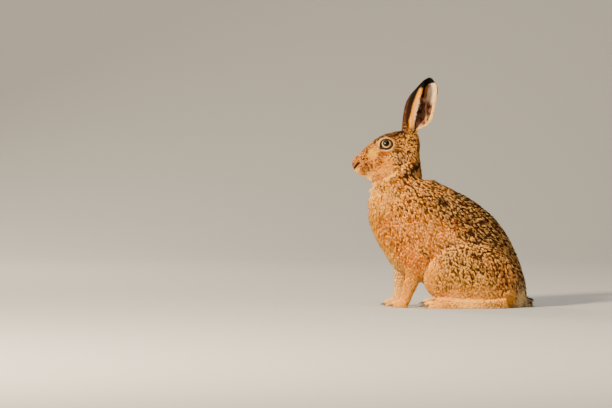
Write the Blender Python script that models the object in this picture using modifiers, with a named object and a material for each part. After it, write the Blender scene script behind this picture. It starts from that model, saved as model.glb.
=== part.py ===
"""A brown hare sitting upright and alert, life size, for a museum shelf.

The hare faces -X with its left side towards -Y, and rests on the floor at z = 0.
The body and the head are each modelled whole from lofts and ellipsoids, fused, and then parted
by thin cuts into the pieces that a person would name. Sizes are in millimetres until the end,
when one call scales the mesh of each piece to metres.
"""

import math

import bmesh
import bpy
import numpy as np
from mathutils import Matrix, Vector
from mathutils.bvhtree import BVHTree

# Driving sizes, in millimetres
GAP = 0.3
SOCKET_SLACK = 0.15
WELD = 0.001
CUTTER_SIZE = 800.0
FLOOR_DEPTH = 60.0
BODY_VOXEL = 2.4
HEAD_VOXEL = 1.3
BODY_TRIANGLES = 2900
HEAD_TRIANGLES = 1900
BODY_SMOOTHING = 12
HEAD_SMOOTHING = 8
LEFT = -1
RIGHT = 1
SIDES = {"left": LEFT, "right": RIGHT}

# The trunk in level slices: height, front, back, half width, share of the depth where it is widest
TRUNK = (
    (-3, 42, 148, 42, 0.55),
    (10, 14, 159, 55, 0.58),
    (28, -10, 162, 62, 0.60),
    (48, -32, 159.5, 65, 0.60),
    (68, -70, 154, 65, 0.60),
    (90, -91, 146.5, 62, 0.58),
    (110, -103, 138, 58, 0.56),
    (130, -114, 127.5, 55, 0.54),
    (150, -121.5, 114, 52, 0.52),
    (170, -126, 96.5, 49, 0.50),
    (190, -127, 72, 46, 0.48),
    (205, -126, 48, 42.5, 0.48),
    (219, -124, 22, 38.5, 0.48),
    (231, -120, -4, 34, 0.50),
    (241, -110, -22, 26, 0.52),
)

# The neck in level slices, from inside the chest to inside the skull
NECK = (
    (205, -118, 30, 38, 0.50),
    (219, -117, 4, 37, 0.50),
    (232, -112, -17, 35, 0.52),
    (245, -102, -29, 32.5, 0.56),
    (258, -88, -32, 30.5, 0.60),
    (272, -76, -34, 28.5, 0.60),
    (286, -69, -35.5, 26, 0.58),
    (300, -65, -36.5, 23, 0.55),
    (312, -62, -39, 18, 0.52),
    (320, -58, -43, 10, 0.50),
)

# The head in upright slices: place along X, underside, top, half width, and the share of the height
# where it is widest
HEAD = (
    (-158.5, 259, 269, 4.5, 0.50),
    (-156.5, 253, 274, 8.5, 0.50),
    (-153, 248.5, 278, 12, 0.48),
    (-147, 244.5, 283, 15, 0.44),
    (-138, 240.5, 291, 17.5, 0.42),
    (-126, 237, 302.5, 20, 0.42),
    (-113, 234.5, 312, 23, 0.44),
    (-100, 235, 318.5, 25.5, 0.46),
    (-86, 236.5, 322.5, 27.5, 0.46),
    (-72, 240, 325, 28.5, 0.44),
    (-58, 246, 326, 27.5, 0.46),
    (-47, 254, 324, 25, 0.48),
    (-39, 266, 318, 20, 0.50),
    (-35, 280, 306, 9, 0.50),
)
TRUNK_POWER = 2.15
NECK_POWER = 2.0
HEAD_POWER = 2.05

# The foot of each ear on the skull, as a path of balls. Left side.
EAR_FOOT = (
    (-58, -8, 292, 16, 21),
    (-55, -12, 306, 14, 18),
    (-53, -14, 316, 12.5, 15),
    (-52, -14.5, 322, 10.5, 12),
)

# The bed of each eye on the skull: centre, then half sizes. Left side.
ORBIT = ((-95, -13.5, 300.5), (20, 12, 17))

# Soft forms raised or sunk on the left side, mirrored to the right: centre, reach along each axis, and
# how far the surface moves along each axis
HEAD_PUSHES = {
    "cheek": ((-76, -26, 262), (26, 26, 20), (0, -3.0, -1)),
    "jaw_angle": ((-88, -20, 246), (20, 16, 14), (0, -2.5, -2)),
    "whisker_pad": ((-143, -14, 256), (11, 12, 9), (-0.5, -3.4, -0.8)),
    "nose_wing": ((-153, -9, 266), (6, 7, 6), (-0.8, -1.8, 0.6)),
    "muzzle_hollow": ((-122, -21, 278), (16, 14, 12), (0, 2.2, 0)),
    "brow": ((-93, -20, 315), (17, 10, 6), (0, -2.2, 0.8)),
    "temple": ((-68, -26, 304), (11, 12, 14), (0, 1.6, 0)),
    "under_eye": ((-99, -26, 281), (18, 12, 6), (0, 1.4, 0)),
    "chin_side": ((-138, -10, 241), (12, 8, 5), (0, 2.2, 0.5)),
}
BODY_PUSHES = {
    "shoulder": ((-52, -52, 128), (34, 30, 46), (0, -5, 0)),
    "behind_shoulder": ((6, -56, 128), (22, 30, 46), (0, 4, 0)),
    "haunch_top": ((88, -54, 112), (40, 34, 32), (2, -7, 3)),
    "flank_hollow": ((20, -58, 96), (24, 30, 26), (0, 4, 0)),
    "breast": ((-116, -22, 168), (24, 22, 34), (-2, -2, 0)),
    "elbow": ((-38, -48, 88), (17, 26, 20), (1, -7, 0)),
    "elbow_crease": ((-14, -52, 84), (8, 26, 18), (0, 7, 0)),
    "nape_corner": ((-22, 0, 240), (10, 40, 8), (-3, 0, -2)),
}

# The eye, on the left side
EYE_CENTRE = (-94.9, -17.2, 301)
EYE_RADIUS = 11.4
EYE_FORWARD_DEG = 8
EYE_UP_DEG = 6
LID_RADIUS = 10.7
LID_ROLL = 1.9
LID_DEPTH = 6.6
LID_HIGH = 0.88
LID_LONG = 1.06

# The slits of the head, on the left side: points near the surface that each follows, and its radius
NOSTRIL = (((-158, -2.6, 257), (-155, -6, 260), (-151.5, -9.4, 264), (-147.5, -12, 267)), 1.2)
MOUTH = (
    ((-156, 0, 252.5), (-153.5, -6, 251.5), (-149, -12, 248.5), (-143, -15, 245), (-137, -17, 242.5)),
    1.0,
)
LIP_CLEFT = (((-160, 0, 261), (-159, 0, 257), (-156, 0, 252.5)), 1.0)

# The ear, on the left side. Each row of the sheet gives its place along the ear as a share of the
# length, the radius and arc length of its hind part, and the radius and arc length of its front fold.
EAR_ROOT = (-53.0, -14.0, 316.5)
EAR_LENGTH = 114.0
EAR_OUT_DEG = 9.0
EAR_TURN_DEG = 17.0
EAR_THICKNESS = 2.4
EAR_ROWS = (
    (0.00, 8.5, 23.5, 8.5, 25),
    (0.12, 11, 25, 7.8, 28),
    (0.18, 15, 32, 8.2, 30.5),
    (0.25, 21, 41.5, 9.3, 32.5),
    (0.32, 29, 45, 10.4, 35),
    (0.39, 33, 46, 11.6, 37.5),
    (0.47, 34, 47, 13, 41),
    (0.57, 34, 43, 13.6, 41.5),
    (0.66, 34, 39.5, 13.4, 39),
    (0.74, 34, 35, 12.4, 34),
    (0.82, 34, 29.5, 11, 28),
    (0.90, 31, 23, 9, 19.5),
    (0.96, 25, 15.5, 7.5, 12),
    (1.00, 14, 4, 6, 3),
)
EAR_SPANS_ALONG = 14
EAR_SPANS_ROUND = 12
EAR_PLUG = (11.0, 10.0, 11.0)
EAR_BORE_ROWS = (0.0, 0.07, 0.13, 0.2)
EAR_BORE_SIDES = 18

# How each ear stands: how far its root is moved along X, its lean back in degrees and its bow to the front
EAR_STANCE = {"left": (0.0, 20.0, 9.5), "right": (-7.5, 26.5, 12.0)}

# The legs, as a path of balls: place, then half width across and half depth. Left side.
FORELEG = {
    "left": (
        (-40, -27, 122, 18, 26),
        (-42, -30, 98, 15.5, 22),
        (-43, -31, 76, 13.5, 19),
        (-47, -28.5, 54, 11.5, 14.5),
        (-55, -26, 34, 10, 12),
        (-60, -25, 18, 9.5, 10.5),
        (-63, -25, 8, 9, 9.5),
    ),
    "right": (
        (-48, -27, 122, 18, 26),
        (-55, -30, 98, 15.5, 22),
        (-62, -31, 76, 13.5, 18),
        (-67, -28.5, 54, 11, 13.5),
        (-70, -26, 34, 9.5, 11),
        (-73.5, -25, 18, 9.5, 10.5),
        (-76.5, -25, 8, 9, 9.5),
    ),
}

# A forepaw: its palm as a place past the last row of the leg and half sizes, its toes as a place
# across and the middle's distance ahead, and the half sizes and height of each toe
PALM = ((-5, 0, -1), (14, 9.5, 8.5))
FORE_TOES = ((-6.6, 12), (-2.4, 16), (2.4, 16), (6.6, 12))
FORE_TOE = (9.5, 3.5, 6.4)
FORE_TOE_HEIGHT = 5.2

# The hind leg: centre, half sizes and tilt of each form, then the foot as a path. Left side.
THIGH = ((60, -48, 64), (86, 29, 54), 8.0)
KNEE = ((0, -53, 56), (27, 21, 36), 0.0)
SHANK = ((68, -54, 32), (72, 17, 17), 0.0)
HIND_FOOT = (
    (126, -53, 12, 11, 12),
    (110, -54, 10.5, 13, 12),
    (80, -55, 9.5, 14, 11.5),
    (45, -55, 9, 14.5, 11),
    (15, -55, 8.5, 15.5, 11),
    (-2, -55, 8, 15, 10.5),
)
HIND_TOES = ((-11, 1.5), (-4.2, -5.5), (3.8, -7.0), (10.6, -2.0))
HIND_TOE = (14, 4.6, 7.6)
HIND_TOE_PLACE = (-8, -55, 6.2)

# The tail as a path of balls
TAIL = (
    (120, 0, 24, 13, 15),
    (136, 0, 20, 15, 15),
    (150, 1, 14, 14.5, 13),
    (162, 2, 11, 12, 10.5),
    (170, 3, 9.5, 8, 8),
)

# Claws: length past the toe, half width at the root, and how far each is sunk in its toe
HIND_CLAW = (6.5, 2.1, 5.0)
FORE_CLAW = (5.0, 1.7, 4.0)
CLAW_DROP = 1.6
CLAW_RISE = 0.4
CLAW_TIP = 0.25
CLAW_TAPER = 0.7
CLAW_FLATNESS = 0.8
CLAW_SIDES = 6
CLAW_STEPS = 3

# The cuts that part the whole animal into its pieces: boxes by two corners, ovals of the side view
# by centre, half sizes, tilt and the stretch that they cross along Y, and planes by point and normal
HIND_FOOT_BOX = ((-60, -95, -5), (142, -38, 17))
FOREPAW_TOP = 17.0
FORELEG_BOX = ((-125, -50, -5), (-34, -8, 54))
TAIL_BORE = ((145, 0, 16), 20, 60)
THIGH_OVAL = ((58, 58), 90, 66, 8.0, 43, 120)
SHOULDER_OVAL = ((-52, 128), 38, 52, -18.0, 34, 100)
NECK_PLANE = ((-60, 0, 212), (-0.46, 0, 1))
HEAD_PLANE = ((-52, 0, 249), (-0.44, 0, 1))
CHEST_PLANE = ((8, 0, 130), (-1, 0, 0.35))
RUMP_PLANE = ((92, 0, 90), (1, 0, -0.45))

# Colours of the pieces: base colour, roughness
COAT_BROWN = ((0.42, 0.27, 0.14), 0.85)
COAT_ORANGE = ((0.55, 0.30, 0.12), 0.85)
COAT_BUFF = ((0.58, 0.42, 0.26), 0.85)
TAIL_BLACK = ((0.06, 0.05, 0.045), 0.85)
EYE_AMBER = ((0.45, 0.26, 0.06), 0.08)
CLAW_HORN = ((0.10, 0.08, 0.07), 0.4)


def clear_scene():
    for obj in list(bpy.data.objects):
        bpy.data.objects.remove(obj, do_unlink=True)


def new_object(name, mesh):
    obj = bpy.data.objects.new(name, mesh)
    bpy.context.scene.collection.objects.link(obj)
    return obj


def smooth_rows(rows, spans):
    """Rows read from a smooth curve through the given ones, this many for each span."""
    table = np.array(rows, float)
    first = 2 * table[0] - table[1]
    last = 2 * table[-1] - table[-2]
    padded = np.vstack([first, table, last])
    made = []
    for i in range(1, len(padded) - 2):
        before, start, end, after = padded[i - 1 : i + 3]
        for t in np.arange(spans) / spans:
            made.append(
                0.5
                * (
                    2 * start
                    + (end - before) * t
                    + (2 * before - 5 * start + 4 * end - after) * t**2
                    + (3 * start - before - 3 * end + after) * t**3
                )
            )
    made.append(table[-1])
    return made


def loft(name, rings):
    """A closed body through rings of equal count, with a fan over each end."""
    bm = bmesh.new()
    loops = [[bm.verts.new(point) for point in ring] for ring in rings]
    count = len(loops[0])
    for one, two in zip(loops, loops[1:]):
        for i in range(count):
            j = (i + 1) % count
            bm.faces.new((one[i], one[j], two[j], two[i]))
    for ring in (loops[0], loops[-1]):
        middle = sum((v.co for v in ring), Vector()) / count
        centre = bm.verts.new(middle)
        for i in range(count):
            bm.faces.new((ring[i], ring[(i + 1) % count], centre))
    bmesh.ops.recalc_face_normals(bm, faces=bm.faces)
    mesh = bpy.data.meshes.new(name)
    bm.to_mesh(mesh)
    bm.free()
    return new_object(name, mesh)


def egg(low, high, half, share, power, count=32):
    """An egg-shaped outline: pairs (along, across), widest where the share says."""
    widest = low + share * (high - low)
    pairs = []
    for i in range(count):
        turn = 2 * math.pi * i / count
        c, s = math.cos(turn), math.sin(turn)
        reach = high - widest if c > 0 else widest - low
        along = widest + reach * math.copysign(abs(c) ** (2 / power), c)
        across = half * math.copysign(abs(s) ** (2 / power), s)
        pairs.append((along, across))
    return pairs


def level_loft(name, rows, power):
    rings = []
    for z, front, back, half, share in smooth_rows(rows, 3):
        rings.append([(x, y, z) for x, y in egg(front, back, half, share, power)])
    return loft(name, rings)


def upright_loft(name, rows, power):
    rings = []
    for x, low, high, half, share in smooth_rows(rows, 3):
        rings.append([(x, y, z) for z, y in egg(low, high, half, share, power)])
    return loft(name, rings)


def limb(name, rows, count=20):
    """A closed tube along a path; each row is a place, a half width across Y and a half depth."""
    rows = smooth_rows(rows, 3)
    places = [Vector(row[:3]) for row in rows]
    rings = []
    for i, row in enumerate(rows):
        along = (places[min(i + 1, len(rows) - 1)] - places[max(i - 1, 0)]).normalized()
        across = (Vector((0, 1, 0)) - along * along.y).normalized()
        deep = along.cross(across)
        ring = []
        for k in range(count):
            turn = 2 * math.pi * k / count
            ring.append(places[i] + across * row[3] * math.cos(turn) + deep * row[4] * math.sin(turn))
        rings.append(ring)
    return loft(name, rings)


def ellipsoid(name, centre, half_sizes, tilt_deg=0.0, segments=28):
    """An ellipsoid tilted about Y, nose down where the tilt is positive."""
    mesh = bpy.data.meshes.new(name)
    bm = bmesh.new()
    bmesh.ops.create_uvsphere(bm, u_segments=segments, v_segments=segments // 2, radius=1)
    place = Matrix.Translation(centre) @ Matrix.Rotation(math.radians(tilt_deg), 4, "Y")
    bm.transform(place @ Matrix.Diagonal((*half_sizes, 1)))
    bm.to_mesh(mesh)
    bm.free()
    return new_object(name, mesh)


def on_side(point, side):
    """A place given for the left side, moved to the side asked for."""
    return (point[0], -point[1] * side, point[2])


def rows_on_side(rows, side):
    return [(row[0], -row[1] * side, *row[2:]) for row in rows]


def tube(name, points, radius):
    """A closed tube through the points, made from a curve and welded."""
    curve = bpy.data.curves.new(name, "CURVE")
    curve.dimensions = "3D"
    curve.bevel_depth = radius
    curve.bevel_resolution = 1
    curve.use_fill_caps = True
    spline = curve.splines.new("POLY")
    path = smooth_rows(points, 2)
    spline.points.add(len(path) - 1)
    for point, co in zip(spline.points, path):
        point.co = (*co, 1)
    guide = new_object(name + "_guide", curve)
    graph = bpy.context.evaluated_depsgraph_get()
    mesh = bpy.data.meshes.new_from_object(guide.evaluated_get(graph))
    bpy.data.objects.remove(guide, do_unlink=True)
    bm = bmesh.new()
    bm.from_mesh(mesh)
    bmesh.ops.remove_doubles(bm, verts=bm.verts, dist=WELD)
    bmesh.ops.recalc_face_normals(bm, faces=bm.faces)
    bm.to_mesh(mesh)
    bm.free()
    return new_object(name, mesh)


def apply_modifiers(obj):
    graph = bpy.context.evaluated_depsgraph_get()
    mesh = bpy.data.meshes.new_from_object(obj.evaluated_get(graph))
    obj.modifiers.clear()
    obj.data = mesh


def triangulate(obj):
    bm = bmesh.new()
    bm.from_mesh(obj.data)
    bmesh.ops.triangulate(bm, faces=bm.faces)
    bm.to_mesh(obj.data)
    bm.free()


def joined(name, objects):
    """One object that holds the meshes of several, which are removed."""
    bm = bmesh.new()
    for obj in objects:
        bm.from_mesh(obj.data)
        bpy.data.objects.remove(obj, do_unlink=True)
    mesh = bpy.data.meshes.new(name)
    bm.to_mesh(mesh)
    bm.free()
    return new_object(name, mesh)


def push(obj, pushes):
    """Moves the surface softly round each centre, on both sides of the body."""
    points = np.array([vert.co for vert in obj.data.vertices])
    moves = np.zeros_like(points)
    for centre, reach, move in pushes.values():
        for side in SIDES.values():
            away = (points - on_side(centre, side)) / reach
            share = np.exp(-(away**2).sum(1))
            moves += share[:, None] * on_side(move, side)
    obj.data.vertices.foreach_set("co", (points + moves).ravel())


def fused(name, forms, voxel, smoothing, triangles, pushes):
    """The forms made one skin by voxels, softened, pushed into shape and thinned to this many triangles."""
    obj = joined(name, forms)
    remesh = obj.modifiers.new("fuse", "REMESH")
    remesh.mode = "VOXEL"
    remesh.voxel_size = voxel
    soften = obj.modifiers.new("soften", "SMOOTH")
    soften.factor = 0.5
    soften.iterations = smoothing
    apply_modifiers(obj)
    push(obj, pushes)
    triangulate(obj)
    thin = obj.modifiers.new("thin", "DECIMATE")
    thin.ratio = triangles / len(obj.data.polygons)
    apply_modifiers(obj)
    return obj


def largest_surface(obj):
    """Keeps only the largest closed surface of a mesh."""
    bm = bmesh.new()
    bm.from_mesh(obj.data)
    bmesh.ops.triangulate(bm, faces=bm.faces)
    left = set(bm.faces)
    groups = []
    while left:
        seed = left.pop()
        group = {seed}
        edge = [seed]
        while edge:
            face = edge.pop()
            for side in face.edges:
                for near in side.link_faces:
                    if near in left:
                        left.discard(near)
                        group.add(near)
                        edge.append(near)
        groups.append(group)
    if len(groups) > 1:
        kept = max(groups, key=lambda group: sum(face.calc_area() for face in group))
        loose = [face for face in bm.faces if face not in kept]
        bmesh.ops.delete(bm, geom=loose, context="FACES")
    bmesh.ops.dissolve_degenerate(bm, edges=bm.edges, dist=2 * WELD)
    bmesh.ops.triangulate(bm, faces=bm.faces)
    bm.to_mesh(obj.data)
    bm.free()


def boolean(obj, other, operation, keep_other=False):
    modifier = obj.modifiers.new(operation.lower(), "BOOLEAN")
    modifier.operation = operation
    modifier.object = other
    modifier.solver = "EXACT"
    apply_modifiers(obj)
    if not keep_other:
        bpy.data.objects.remove(other, do_unlink=True)


def box(name, low, high):
    """A box between two corners."""
    mesh = bpy.data.meshes.new(name)
    bm = bmesh.new()
    bmesh.ops.create_cube(bm, size=1)
    low, high = Vector(low), Vector(high)
    bm.transform(Matrix.Translation((low + high) / 2) @ Matrix.Diagonal((*(high - low), 1)))
    bm.to_mesh(mesh)
    bm.free()
    return new_object(name, mesh)


def half_space(name, point, normal):
    """A big box that fills the side of a plane to which the normal points."""
    mesh = bpy.data.meshes.new(name)
    bm = bmesh.new()
    bmesh.ops.create_cube(bm, size=1)
    size = Matrix.Diagonal((CUTTER_SIZE, CUTTER_SIZE, CUTTER_SIZE, 1))
    lift = Matrix.Translation((0, 0, CUTTER_SIZE / 2)) @ size
    turn = Vector(normal).to_track_quat("Z", "Y").to_matrix().to_4x4()
    bm.transform(Matrix.Translation(point) @ turn @ lift)
    bm.to_mesh(mesh)
    bm.free()
    return new_object(name, mesh)


def oval_block(name, centre, half_x, half_z, tilt_deg, inner, outer, grow=0.0):
    """An upright oval of the side view, made a block from inner to outer along Y."""
    mesh = bpy.data.meshes.new(name)
    bm = bmesh.new()
    bmesh.ops.create_cone(bm, cap_ends=True, segments=40, radius1=1, radius2=1, depth=1)
    low = min(inner, outer) - grow
    high = max(inner, outer) + grow
    stand = Matrix.Rotation(math.radians(90), 4, "X")
    size = Matrix.Diagonal((half_x + grow, high - low, half_z + grow, 1))
    turn = Matrix.Rotation(math.radians(tilt_deg), 4, "Y")
    place = Matrix.Translation((centre[0], (low + high) / 2, centre[1]))
    bm.transform(place @ turn @ size @ stand)
    bm.to_mesh(mesh)
    bm.free()
    return new_object(name, mesh)


def rod(name, start, radius, length, grow=0.0):
    """A round rod that runs back from its start along X."""
    mesh = bpy.data.meshes.new(name)
    bm = bmesh.new()
    bmesh.ops.create_cone(bm, cap_ends=True, segments=28, radius1=1, radius2=1, depth=1)
    size = Matrix.Diagonal((length + 2 * grow, radius + grow, radius + grow, 1))
    place = Matrix.Translation((start[0] + length / 2, start[1], start[2]))
    bm.transform(place @ size @ Matrix.Rotation(math.radians(90), 4, "Y"))
    bm.to_mesh(mesh)
    bm.free()
    return new_object(name, mesh)


def split_off(source, name, cutter, grown):
    """The share of the source inside the cutter, as an object of its own; the grown cutter leaves the gap."""
    piece = new_object(name, source.data.copy())
    boolean(piece, cutter, "INTERSECT")
    boolean(source, grown, "DIFFERENCE")
    largest_surface(piece)
    return piece


def split_by_plane(source, name, point, normal):
    """Parts the source at a plane; the side to which the normal points gets the new name."""
    away = Vector(point) + Vector(normal).normalized() * GAP
    return split_off(
        source,
        name,
        half_space("cutter", away, normal),
        half_space("cutter_grown", point, normal),
    )


def split_by_box(source, name, low, high):
    grow = Vector((GAP, GAP, GAP))
    return split_off(
        source,
        name,
        box("cutter", low, high),
        box("cutter_grown", Vector(low) - grow, Vector(high) + grow),
    )


def box_on_side(low, high, side):
    """The corners of a box given for the left side, moved to the side asked for."""
    if side == LEFT:
        return low, high
    return (low[0], -high[1], low[2]), (high[0], -low[1], high[2])


# The trunk, neck, legs and tail, fused into one body
def build_body():
    forms = [
        level_loft("trunk", TRUNK, TRUNK_POWER),
        level_loft("neck", NECK, NECK_POWER),
        limb("tail", TAIL),
    ]
    for word, side in SIDES.items():
        for label, form in (
            ("thigh", THIGH),
            ("knee", KNEE),
            ("shank", SHANK),
        ):
            centre, half_sizes, tilt = form
            forms.append(ellipsoid(f"{label}_{word}", on_side(centre, side), half_sizes, tilt))
        foreleg = rows_on_side(FORELEG[word], side)
        forms.append(limb(f"foreleg_{word}", foreleg))
        forms.append(limb(f"hind_foot_{word}", rows_on_side(HIND_FOOT, side)))
        forms += fore_toes(word, foreleg[-1])
        forms += hind_toes(word, side)
    body = fused("body", forms, BODY_VOXEL, BODY_SMOOTHING, BODY_TRIANGLES, {**BODY_PUSHES, **HEAD_PUSHES})
    reach = CUTTER_SIZE / 2
    floor = box("floor", (-reach, -reach, -FLOOR_DEPTH), (reach, reach, 0))
    boolean(body, floor, "DIFFERENCE")
    largest_surface(body)
    return body


def fore_toe_middles(ankle):
    """The middle of each toe of a forepaw, from the last row of its leg."""
    x, y = ankle[:2]
    return [Vector((x - ahead, y + across, FORE_TOE_HEIGHT)) for across, ahead in FORE_TOES]


def fore_toes(word, ankle):
    place, half_sizes = PALM
    forms = [ellipsoid(f"palm_{word}", Vector(ankle[:3]) + Vector(place), half_sizes)]
    for number, middle in enumerate(fore_toe_middles(ankle), 1):
        forms.append(ellipsoid(f"fore_toe_{number}_{word}", middle, FORE_TOE, segments=16))
    return forms


def hind_toe_middles(side):
    """The middle of each toe of a hind foot."""
    x, y, z = on_side(HIND_TOE_PLACE, side)
    return [Vector((x + ahead, y + across * -side, z)) for across, ahead in HIND_TOES]


def hind_toes(word, side):
    forms = []
    for number, middle in enumerate(hind_toe_middles(side), 1):
        forms.append(ellipsoid(f"hind_toe_{number}_{word}", middle, HIND_TOE, segments=16))
    return forms


# The head, fused on its own with finer voxels
def build_head():
    forms = [upright_loft("skull", HEAD, HEAD_POWER), level_loft("nape", NECK, NECK_POWER)]
    for word, side in SIDES.items():
        forms.append(limb(f"ear_foot_{word}", rows_on_side(EAR_FOOT, side)))
        centre, half_sizes = ORBIT
        forms.append(ellipsoid(f"orbit_{word}", on_side(centre, side), half_sizes))
    head = fused("head", forms, HEAD_VOXEL, HEAD_SMOOTHING, HEAD_TRIANGLES, HEAD_PUSHES)
    for word, side in SIDES.items():
        boolean(head, lid_ring(word, side), "UNION")
        for label, (points, radius) in (("nostril", NOSTRIL), ("mouth", MOUTH)):
            path = on_surface(head, [on_side(p, side) for p in points])
            boolean(head, tube(f"{label}_{word}", path, radius), "DIFFERENCE")
    points, radius = LIP_CLEFT
    boolean(head, tube("lip_cleft", on_surface(head, points), radius), "DIFFERENCE")
    largest_surface(head)
    return head


def on_surface(obj, points):
    """The places of the surface that lie nearest to these points."""
    bm = bmesh.new()
    bm.from_mesh(obj.data)
    tree = BVHTree.FromBMesh(bm)
    bm.free()
    return [tree.find_nearest(Vector(point))[0] for point in points]


def eye_turn(side):
    """Turns +Z to the way that an eye looks: out to its side, a little forward and up."""
    forward = math.radians(EYE_FORWARD_DEG)
    up = math.radians(EYE_UP_DEG)
    look = Vector((-math.sin(forward), side * math.cos(forward) * math.cos(up), math.sin(up)))
    return look.to_track_quat("Z", "X").to_matrix().to_4x4()


def lid_ring(word, side):
    """The two lids of an eye as one oval ring."""
    mesh = bpy.data.meshes.new(f"lids_{word}")
    bm = bmesh.new()
    bmesh.ops.create_circle(bm, segments=6, radius=LID_ROLL)
    bm.transform(Matrix.Translation((LID_RADIUS, 0, 0)) @ Matrix.Rotation(math.radians(90), 4, "X"))
    bmesh.ops.spin(
        bm,
        geom=bm.verts[:] + bm.edges[:],
        cent=(0, 0, 0),
        axis=(0, 0, 1),
        angle=2 * math.pi,
        steps=24,
        use_merge=True,
    )
    bmesh.ops.remove_doubles(bm, verts=bm.verts, dist=WELD)
    bmesh.ops.recalc_face_normals(bm, faces=bm.faces)
    shape = Matrix.Translation((0, 0, LID_DEPTH)) @ Matrix.Diagonal((LID_HIGH, LID_LONG, 1, 1))
    bm.transform(Matrix.Translation(on_side(EYE_CENTRE, side)) @ eye_turn(side) @ shape)
    bm.to_mesh(mesh)
    bm.free()
    return new_object(f"lids_{word}", mesh)


def eyeball(name, side, radius, segments=20):
    mesh = bpy.data.meshes.new(name)
    bm = bmesh.new()
    bmesh.ops.create_uvsphere(bm, u_segments=segments, v_segments=segments // 2, radius=radius)
    bm.transform(Matrix.Translation(on_side(EYE_CENTRE, side)) @ eye_turn(side))
    bm.to_mesh(mesh)
    bm.free()
    return new_object(name, mesh)


# The ears: a rolled sheet with a wall thickness, standing on a plug sunk in the head
def ear_frame(word, side):
    """Root, the directions along the ear, of its opening and of its front, and its bow."""
    shift, lean, bow = EAR_STANCE[word]
    back = math.radians(lean)
    out = math.radians(EAR_OUT_DEG)
    turn = math.radians(EAR_TURN_DEG)
    along = Vector((math.sin(back), side * math.sin(out), math.cos(back))).normalized()
    opening = Vector((math.sin(turn), side * math.cos(turn), 0))
    opening = (opening - along * opening.dot(along)).normalized()
    front = along.cross(opening) * side
    if front.x > 0:
        front = -front
    root = Vector(on_side(EAR_ROOT, side)) + Vector((shift, 0, 0))
    return root, along, opening, front, bow


def ear_row(place):
    """The row of the ear's sheet at this share of its length, read from the smooth table."""
    table = np.array(smooth_rows(EAR_ROWS, 12))
    row = [np.interp(place, table[:, 0], table[:, k]) for k in range(5)]
    row[0] = place
    return row


def ear_point(frame, row, share):
    """A point of the ear's sheet: share runs from -1 at the hind margin to 1 at the front margin."""
    root, along, opening, front, bow = frame
    place, hind_radius, hind_length, fold_radius, fold_length = row
    length, radius = (hind_length, hind_radius) if share < 0 else (fold_length, fold_radius)
    turn = share * length / radius
    across = radius * math.sin(turn) + bow * math.sin(math.pi * place)
    up = radius * (1 - math.cos(turn)) - min(hind_radius, fold_radius)
    return root + along * EAR_LENGTH * place + front * across + opening * up


def ear_sheet(name, word, side, thickness):
    """The rolled sheet of an ear, made a wall this thick."""
    frame = ear_frame(word, side)
    bm = bmesh.new()
    bmesh.ops.create_grid(bm, x_segments=EAR_SPANS_ROUND, y_segments=EAR_SPANS_ALONG, size=1)
    for vert in bm.verts:
        vert.co = ear_point(frame, ear_row((vert.co.y + 1) / 2), vert.co.x)
    bmesh.ops.triangulate(bm, faces=bm.faces)
    mesh = bpy.data.meshes.new(name)
    bm.to_mesh(mesh)
    bm.free()
    sheet = new_object(name, mesh)
    wall = sheet.modifiers.new("wall", "SOLIDIFY")
    wall.thickness = thickness
    wall.offset = 0
    wall.use_even_offset = False
    apply_modifiers(sheet)
    recalculate(sheet)
    return sheet


def build_ear(word, side):
    ear = ear_sheet(f"ear_{word}", word, side, EAR_THICKNESS)
    boolean(ear, ear_plug(word, side, 0), "UNION")
    largest_surface(ear)
    return ear


def ear_bore(word, side):
    """The round hole of the head in which the foot of the ear stands."""
    root, along, opening, front, bow = ear_frame(word, side)
    rings = []
    for place in EAR_BORE_ROWS:
        row = ear_row(place)
        radius = max(row[1], row[3])
        shift = radius - min(row[1], row[3])
        ahead = bow * math.sin(math.pi * place)
        middle = root + along * EAR_LENGTH * place + front * ahead + opening * shift
        reach = radius + EAR_THICKNESS / 2 + GAP
        ring = []
        for k in range(EAR_BORE_SIDES):
            turn = 2 * math.pi * k / EAR_BORE_SIDES
            ring.append(middle + (front * math.cos(turn) + opening * math.sin(turn)) * reach)
        rings.append(ring)
    return loft("ear_bore", rings)


def recalculate(obj):
    bm = bmesh.new()
    bm.from_mesh(obj.data)
    bmesh.ops.recalc_face_normals(bm, faces=bm.faces)
    bm.to_mesh(obj.data)
    bm.free()


def ear_plug(word, side, grow):
    """The rounded root that fills the foot of the ear and stands in its pocket of the head."""
    root, along, opening, front, _ = ear_frame(word, side)
    turn = Matrix((front, opening, along)).transposed().to_4x4()
    if turn.determinant() < 0:
        turn = Matrix((-front, opening, along)).transposed().to_4x4()
    mesh = bpy.data.meshes.new(f"ear_plug_{word}")
    bm = bmesh.new()
    bmesh.ops.create_uvsphere(bm, u_segments=16, v_segments=8, radius=1)
    sizes = [half + grow for half in EAR_PLUG]
    bm.transform(Matrix.Translation(root) @ turn @ Matrix.Diagonal((*sizes, 1)))
    bm.to_mesh(mesh)
    bm.free()
    return new_object(f"ear_plug_{word}", mesh)


# The claws: a bent cone each, sunk in the end of its toe
def claw(name, start, length, half, sunk, grow=0.0):
    rings = []
    whole = length + sunk + grow
    for step in range(CLAW_STEPS + 1):
        share = step / CLAW_STEPS
        radius = (half + grow) * (1 - share) ** CLAW_TAPER + CLAW_TIP
        middle = start + Vector((-share * whole, 0, -half * CLAW_DROP * share**2))
        ring = []
        for k in range(CLAW_SIDES):
            turn = 2 * math.pi * k / CLAW_SIDES
            across = radius * CLAW_FLATNESS * math.cos(turn)
            ring.append(middle + Vector((0, across, radius * math.sin(turn))))
        rings.append(ring)
    return loft(name, rings)


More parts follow.
